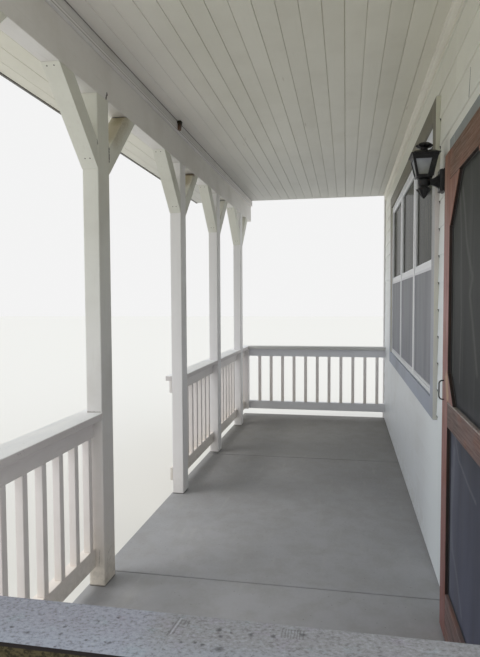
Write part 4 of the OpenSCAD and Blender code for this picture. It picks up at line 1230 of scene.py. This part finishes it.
def slanting_line(x, z, across, up, leg):
    """The slanting face of a brace as (x, z) points, from rail to stile. across and up are 1 or -1."""
    steps = [(leg, 0.0), (leg, BRACE_END), (BRACE_END, leg), (0.0, leg)]
    return [(x + across * u, z + up * v) for u, v in steps]


corner_boards = []
for x, across in ((inner[0] + JOINT, 1), (inner[1] - JOINT, -1)):
    for z, up, leg in ((MID_HIGH + JOINT, 1, MID_BRACE), (HEAD_FOOT - JOINT, -1, HEAD_BRACE)):
        corner_boards.append(plank([(x, z)] + slanting_line(x, z, across, up, leg), "Y", y0, y1))
braces = join_parts("screen_door_braces", corner_boards, stain_up, 0.002, DOOR_BODY)
darken_reveals(braces)

# %% [markdown]
# ## Wire mesh
# Old mesh never stays flat: it bellies and ripples between its staples. A flat sheet with a wavy bump would
# still show a straight outline in a low view, so the sheet is a fine grid whose points are moved by a few
# slow sine waves. The wires are far thinner than a pixel, so the cloth is a dark, slightly see-through veil
# with upright streaks of dust, and the creases that show are soft marks on it: pale painted highlights
# where they catch the light, with a pale bluish patch of painted light beside one stile.

# %% Rippled mesh
MESH_SET = 0.016
MESH_Y = y0 + MESH_SET + 0.001
MESH_T = 0.0012
TUCK = 0.004


def rippled_sheet(name, bottom, top, finish):
    """A grid between the stiles with slow ripples, still at its edges."""
    across, up = 24, 36
    left, right = inner[0] - TUCK, inner[1] + TUCK
    corners = []
    for j in range(up + 1):
        for i in range(across + 1):
            u, v = i / across, j / up
            calm = (math.sin(math.pi * u) * math.sin(math.pi * v)) ** 0.5
            wave = math.sin(9.4 * u + 1.7 * math.sin(4.0 * v)) * 0.0022 + math.sin(5.3 * v + 2.0) * 0.0012
            corners.append((left + u * (right - left), MESH_Y + wave * calm, bottom + v * (top - bottom)))
    width = across + 1
    faces = [[j * width + i, j * width + i + 1, (j + 1) * width + i + 1, (j + 1) * width + i]
             for j in range(up) for i in range(across)]
    piece = join_parts(name, [(corners, faces)], finish, 0.0, DOOR_BODY)
    for face in piece.data.polygons:
        face.use_smooth = True
    solid = piece.modifiers.new("wire_thickness", "SOLIDIFY")
    solid.thickness = MESH_T
    return piece


WIRE_TONES = [(0.4, (0.134, 0.142, 0.198)), (1.0, (0.114, 0.120, 0.156)), (1.3, (0.064, 0.066, 0.070)),
              (1.75, (0.092, 0.094, 0.093)), (2.2, (0.072, 0.074, 0.066))]


def on_mesh(points, reach):
    """Strokes through a chain of (x, z) points on the mesh."""
    return [((a[0], MESH_Y, a[1]), (b[0], MESH_Y, b[1]), reach) for a, b in zip(points, points[1:])]


SLACK_LINES = on_mesh([(1.756, 2.118), (1.811, 2.011), (1.855, 1.909), (1.960, 1.764), (1.921, 1.700),
                       (2.04, 1.42)], 0.026)
SLACK_LINES += on_mesh([(1.70, 2.13), (1.745, 1.90), (1.775, 1.60), (1.74, 1.35)], 0.018)
LOW_CREASES = on_mesh([(1.655, 1.044), (1.625, 0.817), (1.575, 0.529), (1.60, 0.42)], 0.034)
LOW_CREASES += on_mesh([(1.673, 1.104), (1.742, 1.025), (2.063, 0.96)], 0.014)
LOW_CREASES += on_mesh([(1.616, 0.946), (1.60, 0.779), (1.635, 0.61), (1.756, 0.529), (1.841, 0.43)], 0.030)
EDGE_LINES = on_mesh([(1.585, 1.98), (1.590, 1.34), (1.64, 1.275), (1.735, 1.165)], 0.016)
PALE_SIDE = on_mesh([(1.63, 1.04), (1.60, 0.40)], 0.16)
wire = screen_cloth("door_wire", WIRE_TONES, 0.92, (0.12, 0.12, 0.12), 0.5)
dull(wire, 0.12)
# Painted light: the pale side and the pale crease lines are light caught by the cloth.
overlay(wire, share_of_marks(PALE_SIDE, 0.02, 0.0, 0.6), (0.165, 0.175, 0.225))
overlay(wire, share_of_marks(SLACK_LINES, 0.015, 0.0, 0.28), (0.24, 0.24, 0.23))
overlay(wire, share_of_marks(LOW_CREASES, 0.015, 0.0, 0.42), (0.24, 0.25, 0.29))
overlay(wire, share_of_marks(EDGE_LINES, 0.004, 0.1, 0.5), (0.20, 0.21, 0.20))
lower_sheet = rippled_sheet("lower_wire_mesh", FOOT_TOP - TUCK, MID_LOW + TUCK, wire)
upper_sheet = rippled_sheet("upper_wire_mesh", MID_HIGH - TUCK, HEAD_FOOT + TUCK, wire)
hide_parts("screen_mesh")

# %% [markdown]
# ## The bead round the mesh
# A dark cord is pressed into a groove all round each panel and holds the mesh. It runs along the stiles,
# the rails and the slanting braces, so it is one closed line with a section, carried from corner to corner.

# %% Mesh bead
BEAD = 0.003
HAIRLINE = 0.0002


def bead_loop(points):
    """A square cord along a closed line of (x, z) points that lies on the mesh, inside the line."""
    middle = sum((Vector(point) for point in points), Vector((0.0, 0.0))) / len(points)
    inward = []
    for i, point in enumerate(points):
        before = (Vector(point) - Vector(points[i - 1])).normalized()
        after = (Vector(points[(i + 1) % len(points)]) - Vector(point)).normalized()
        turn = Vector((-(before + after).y, (before + after).x)).normalized()
        turn *= BEAD / max(0.3, turn.dot(Vector((-before.y, before.x))))
        if turn.dot(middle - Vector(point)) < 0:
            turn = -turn
        inward.append(tuple(Vector(point) + turn))
    face, back = y0 + MESH_SET - BEAD, y0 + MESH_SET + 0.0005
    rings = ((points, face), (inward, face), (inward, back), (points, back))
    corners = [(x, y, z) for line, y in rings for x, z in line]
    return corners, ring_faces(((0, 1), (1, 2), (2, 3), (3, 0)), len(points))


left, right = inner[0] + HAIRLINE, inner[1] - HAIRLINE
low_z, high_z = MID_HIGH + HAIRLINE, HEAD_FOOT - HAIRLINE
upper_line = slanting_line(left, low_z, 1, 1, MID_BRACE)[::-1]
upper_line += slanting_line(right, low_z, -1, 1, MID_BRACE)
upper_line += slanting_line(right, high_z, -1, -1, HEAD_BRACE)[::-1]
upper_line += slanting_line(left, high_z, 1, -1, HEAD_BRACE)
lower_line = [(left, FOOT_TOP), (right, FOOT_TOP), (right, MID_LOW), (left, MID_LOW)]
CORD_GREYS = [(0.4, (0.050, 0.050, 0.055)), (2.3, (0.050, 0.050, 0.048))]
cord_grey = painted("bead_grey", CORD_GREYS, (0.10, 0.09, 0.08))
join_parts("mesh_bead", [bead_loop(upper_line), bead_loop(lower_line)], cord_grey, 0.001, DOOR_BODY)

# %% [markdown]
# ## Black metal
# The lantern, the pull and the hinges are cast or bent metal in old black paint. It is rough where it has
# chalked and shows rust brown on worn spots. An even black would swallow the small shapes, so one noise
# lightens and roughens the chalked parts, and a finer one sets the rust.

# %% Metal finish
def black_metal(name, rust=0.35):
    """Chalked black paint on cast metal, with rust in places."""
    material, tree, shader = new_finish(name)
    chalk = between(tree, noise(tree, 38.0, 5.0, 0.65), 0.45, 0.72)
    spots = between(tree, noise(tree, 85.0, 4.0, 0.7), 0.58, 0.72, 0.0, rust)
    half_chalk = math_node(tree, "MULTIPLY", chalk, 0.5)
    grey = mix_colour(tree, half_chalk, (0.010, 0.010, 0.011), (0.050, 0.049, 0.048))
    tree.links.new(mix_colour(tree, spots, grey, (0.12, 0.055, 0.030)), shader.inputs["Base Color"])
    tree.links.new(between(tree, chalk, 0.0, 1.0, 0.34, 0.62), shader.inputs["Roughness"])
    shader.inputs["Specular IOR Level"].default_value = 0.3
    bump(tree, shader, noise(tree, 260.0, 3.0, 0.6), 0.25, 0.001)
    return material


iron = black_metal("black_iron")
for name in ("door_pull", "door_leaves", "hinge_brackets", "lantern_bracket", "lantern_body"):
    dress(name, iron, 0.0008)
print("metal dressed")

# %% [markdown]
# ## Lantern glass
# The lantern's panes are frosted on the inside and dusty on the outside, so they read as flat grey with a
# bluish cast, and only a little of what lies behind comes through. Some transparency keeps that. The
# blurred pale patch on the near pane is a painted highlight, and the lighter bluish top of the panes is
# painted light.

# %% Frosted glass
def frosted(name):
    """Grey frosted panes, bluish and lighter above as painted light, greenish below, with a little
    see-through.
    """
    material, tree, shader = new_finish(name)
    haze = noise(tree, 60.0, 3.0, 0.6)
    pane = tones(tree, [(2.33, (0.26, 0.265, 0.225)), (2.42, (0.32, 0.335, 0.40))])
    dusty = mix_colour(tree, between(tree, haze, 0.35, 0.7, 0.0, 0.4), pane, (0.36, 0.365, 0.38))
    tree.links.new(dusty, shader.inputs["Base Color"])
    shader.inputs["Roughness"].default_value = 0.35
    shader.inputs["IOR"].default_value = 1.2
    shader.inputs["Alpha"].default_value = 0.95
    return material


# Painted highlight: the blurred pale patch on the near pane.
NEAR_PANE_HIGHLIGHT = [((1.141, -0.135, 2.385), (1.141, -0.115, 2.365), 0.035)]
frosted_glass = frosted("frosted_glass")
overlay(frosted_glass, share_of_marks(NEAR_PANE_HIGHLIGHT, 0.006, 0.0, 0.45), (0.50, 0.52, 0.56))
dress("lantern_glass", frosted_glass, 0.0)
print("lantern glazed")

# %% [markdown]
# ## The entry door and its threshold
# Behind the screen door stands a plain painted door, seen only as a brownish dimness through the mesh.
# The threshold is a board of the same wood as the screen door, walked bare. Both are measured solids of
# the right shape already, so a finish is all that they need.

# %% Entry door and threshold
entry_paint = painted("entry_door_paint", one_tone((0.22, 0.205, 0.19)), (0.15, 0.13, 0.11), "Z", soil=0.3)
dress("entry_door", entry_paint)
dress("threshold", stained("threshold_wood", "X", one_tone((0.24, 0.17, 0.14)), 0.8))
print("entry door and threshold dressed")

# %% [markdown]
# ## Hinge screws
# Three countersunk screws hold each leaf of a hinge, with heads left bare and rusting. They are the small
# heads that also serve as brace nails. The screws in the door turn with it, so the two rows are two pieces:
# one rides on the door, the other on the porch.

# %% Screws
leaf_low, leaf_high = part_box("door_leaves")
HINGE_H = 0.076
HINGE_MIDDLES = [leaf_low.z + HINGE_H / 2, (leaf_low.z + leaf_high.z) / 2, leaf_high.z - HINGE_H / 2]
SCREW_R, SCREW_PROUD = 0.0032, 0.0005
SCREW_STEPS = (-0.026, 0.0, 0.026)
SCREW_HEIGHTS = [middle + step for middle in HINGE_MIDDLES for step in SCREW_STEPS]


def screw_row(x, y):
    """Screw heads one above the other on the leaves of the hinges, facing the porch's front."""
    return [stud((x, y, z), (0.0, -1.0, 0.0), SCREW_R, SCREW_PROUD) for z in SCREW_HEIGHTS]


LEAF_T = 0.003
LEAF_ROW_X = 2.406
BRACKET_ROW_X, BRACKET_FACE = 2.458, -0.023
screw_metal = black_metal("screw_metal", 0.8)
join_parts("leaf_screws", screw_row(LEAF_ROW_X, y0 - LEAF_T), screw_metal, 0.0, DOOR_BODY)
join_parts("bracket_screws", screw_row(BRACKET_ROW_X, BRACKET_FACE), screw_metal)

# %% [markdown]
# ## Floor, light and background
# The porch is shown as in a studio: on a plain pale floor, under an even pale sky and one wide soft sun on
# its open side. A porch is lit mostly by what its bright floor throws back up, so the floor matters as
# much as the lamp: it lights the ceiling and the undersides. The sun stands high, so the eave shades the
# wall and only the front rail and the floor's edge are in its light.

# %% Studio
def pale_floor():
    """A wide pale plane for the porch to stand on."""
    mesh = bpy.data.meshes.new("studio_floor")
    reach = 60.0
    corners = [(-reach, -reach, 0), (reach, -reach, 0), (reach, reach, 0), (-reach, reach, 0)]
    mesh.from_pydata(corners, [], [(0, 1, 2, 3)])
    material, tree, shader = new_finish("studio_floor")
    shader.inputs["Base Color"].default_value = (0.80, 0.785, 0.745, 1.0)
    shader.inputs["Roughness"].default_value = 0.9
    mesh.materials.append(material)
    piece = bpy.data.objects.new("studio_floor", mesh)
    bpy.context.scene.collection.objects.link(piece)


def soft_sun(elevation, bearing, strength, spread, tint):
    """A sun of a wide disc. Bearing 0 shines from the front, and turns towards the near end."""
    data = bpy.data.lights.new("soft_sun", "SUN")
    data.energy = strength
    data.angle = math.radians(spread)
    data.color = tint
    sun = bpy.data.objects.new("soft_sun", data)
    up, turn = math.radians(elevation), math.radians(bearing)
    towards = Vector((math.sin(turn) * math.cos(up), -math.cos(turn) * math.cos(up), math.sin(up)))
    sun.rotation_euler = towards.to_track_quat("Z", "Y").to_euler()
    bpy.context.scene.collection.objects.link(sun)


def pale_world(light, background):
    """Even light from all round, and a plain pale background for the eye and for mirrors."""
    world = bpy.data.worlds.new("studio")
    world.use_nodes = True
    tree = world.node_tree
    tree.nodes.clear()
    rays = add_node(tree, "ShaderNodeLightPath")
    seen = math_node(tree, "MAXIMUM", rays.outputs["Is Camera Ray"], rays.outputs["Is Transmission Ray"])
    seen = math_node(tree, "MAXIMUM", seen, rays.outputs["Is Glossy Ray"])
    dim = add_node(tree, "ShaderNodeBackground", {"Color": (0.93, 0.965, 1.0, 1.0), "Strength": light})
    pale = add_node(tree, "ShaderNodeBackground", {"Color": (1.0, 1.0, 1.0, 1.0), "Strength": background})
    both = add_node(tree, "ShaderNodeMixShader")
    tree.links.new(seen, both.inputs[0])
    tree.links.new(dim.outputs[0], both.inputs[1])
    tree.links.new(pale.outputs[0], both.inputs[2])
    out = add_node(tree, "ShaderNodeOutputWorld")
    tree.links.new(both.outputs[0], out.inputs["Surface"])
    bpy.context.scene.world = world


pale_floor()
pale_world(light=0.88, background=0.90)
soft_sun(elevation=60.0, bearing=25.0, strength=1.0, spread=22.0, tint=(1.0, 0.985, 0.96))
print("studio ready")
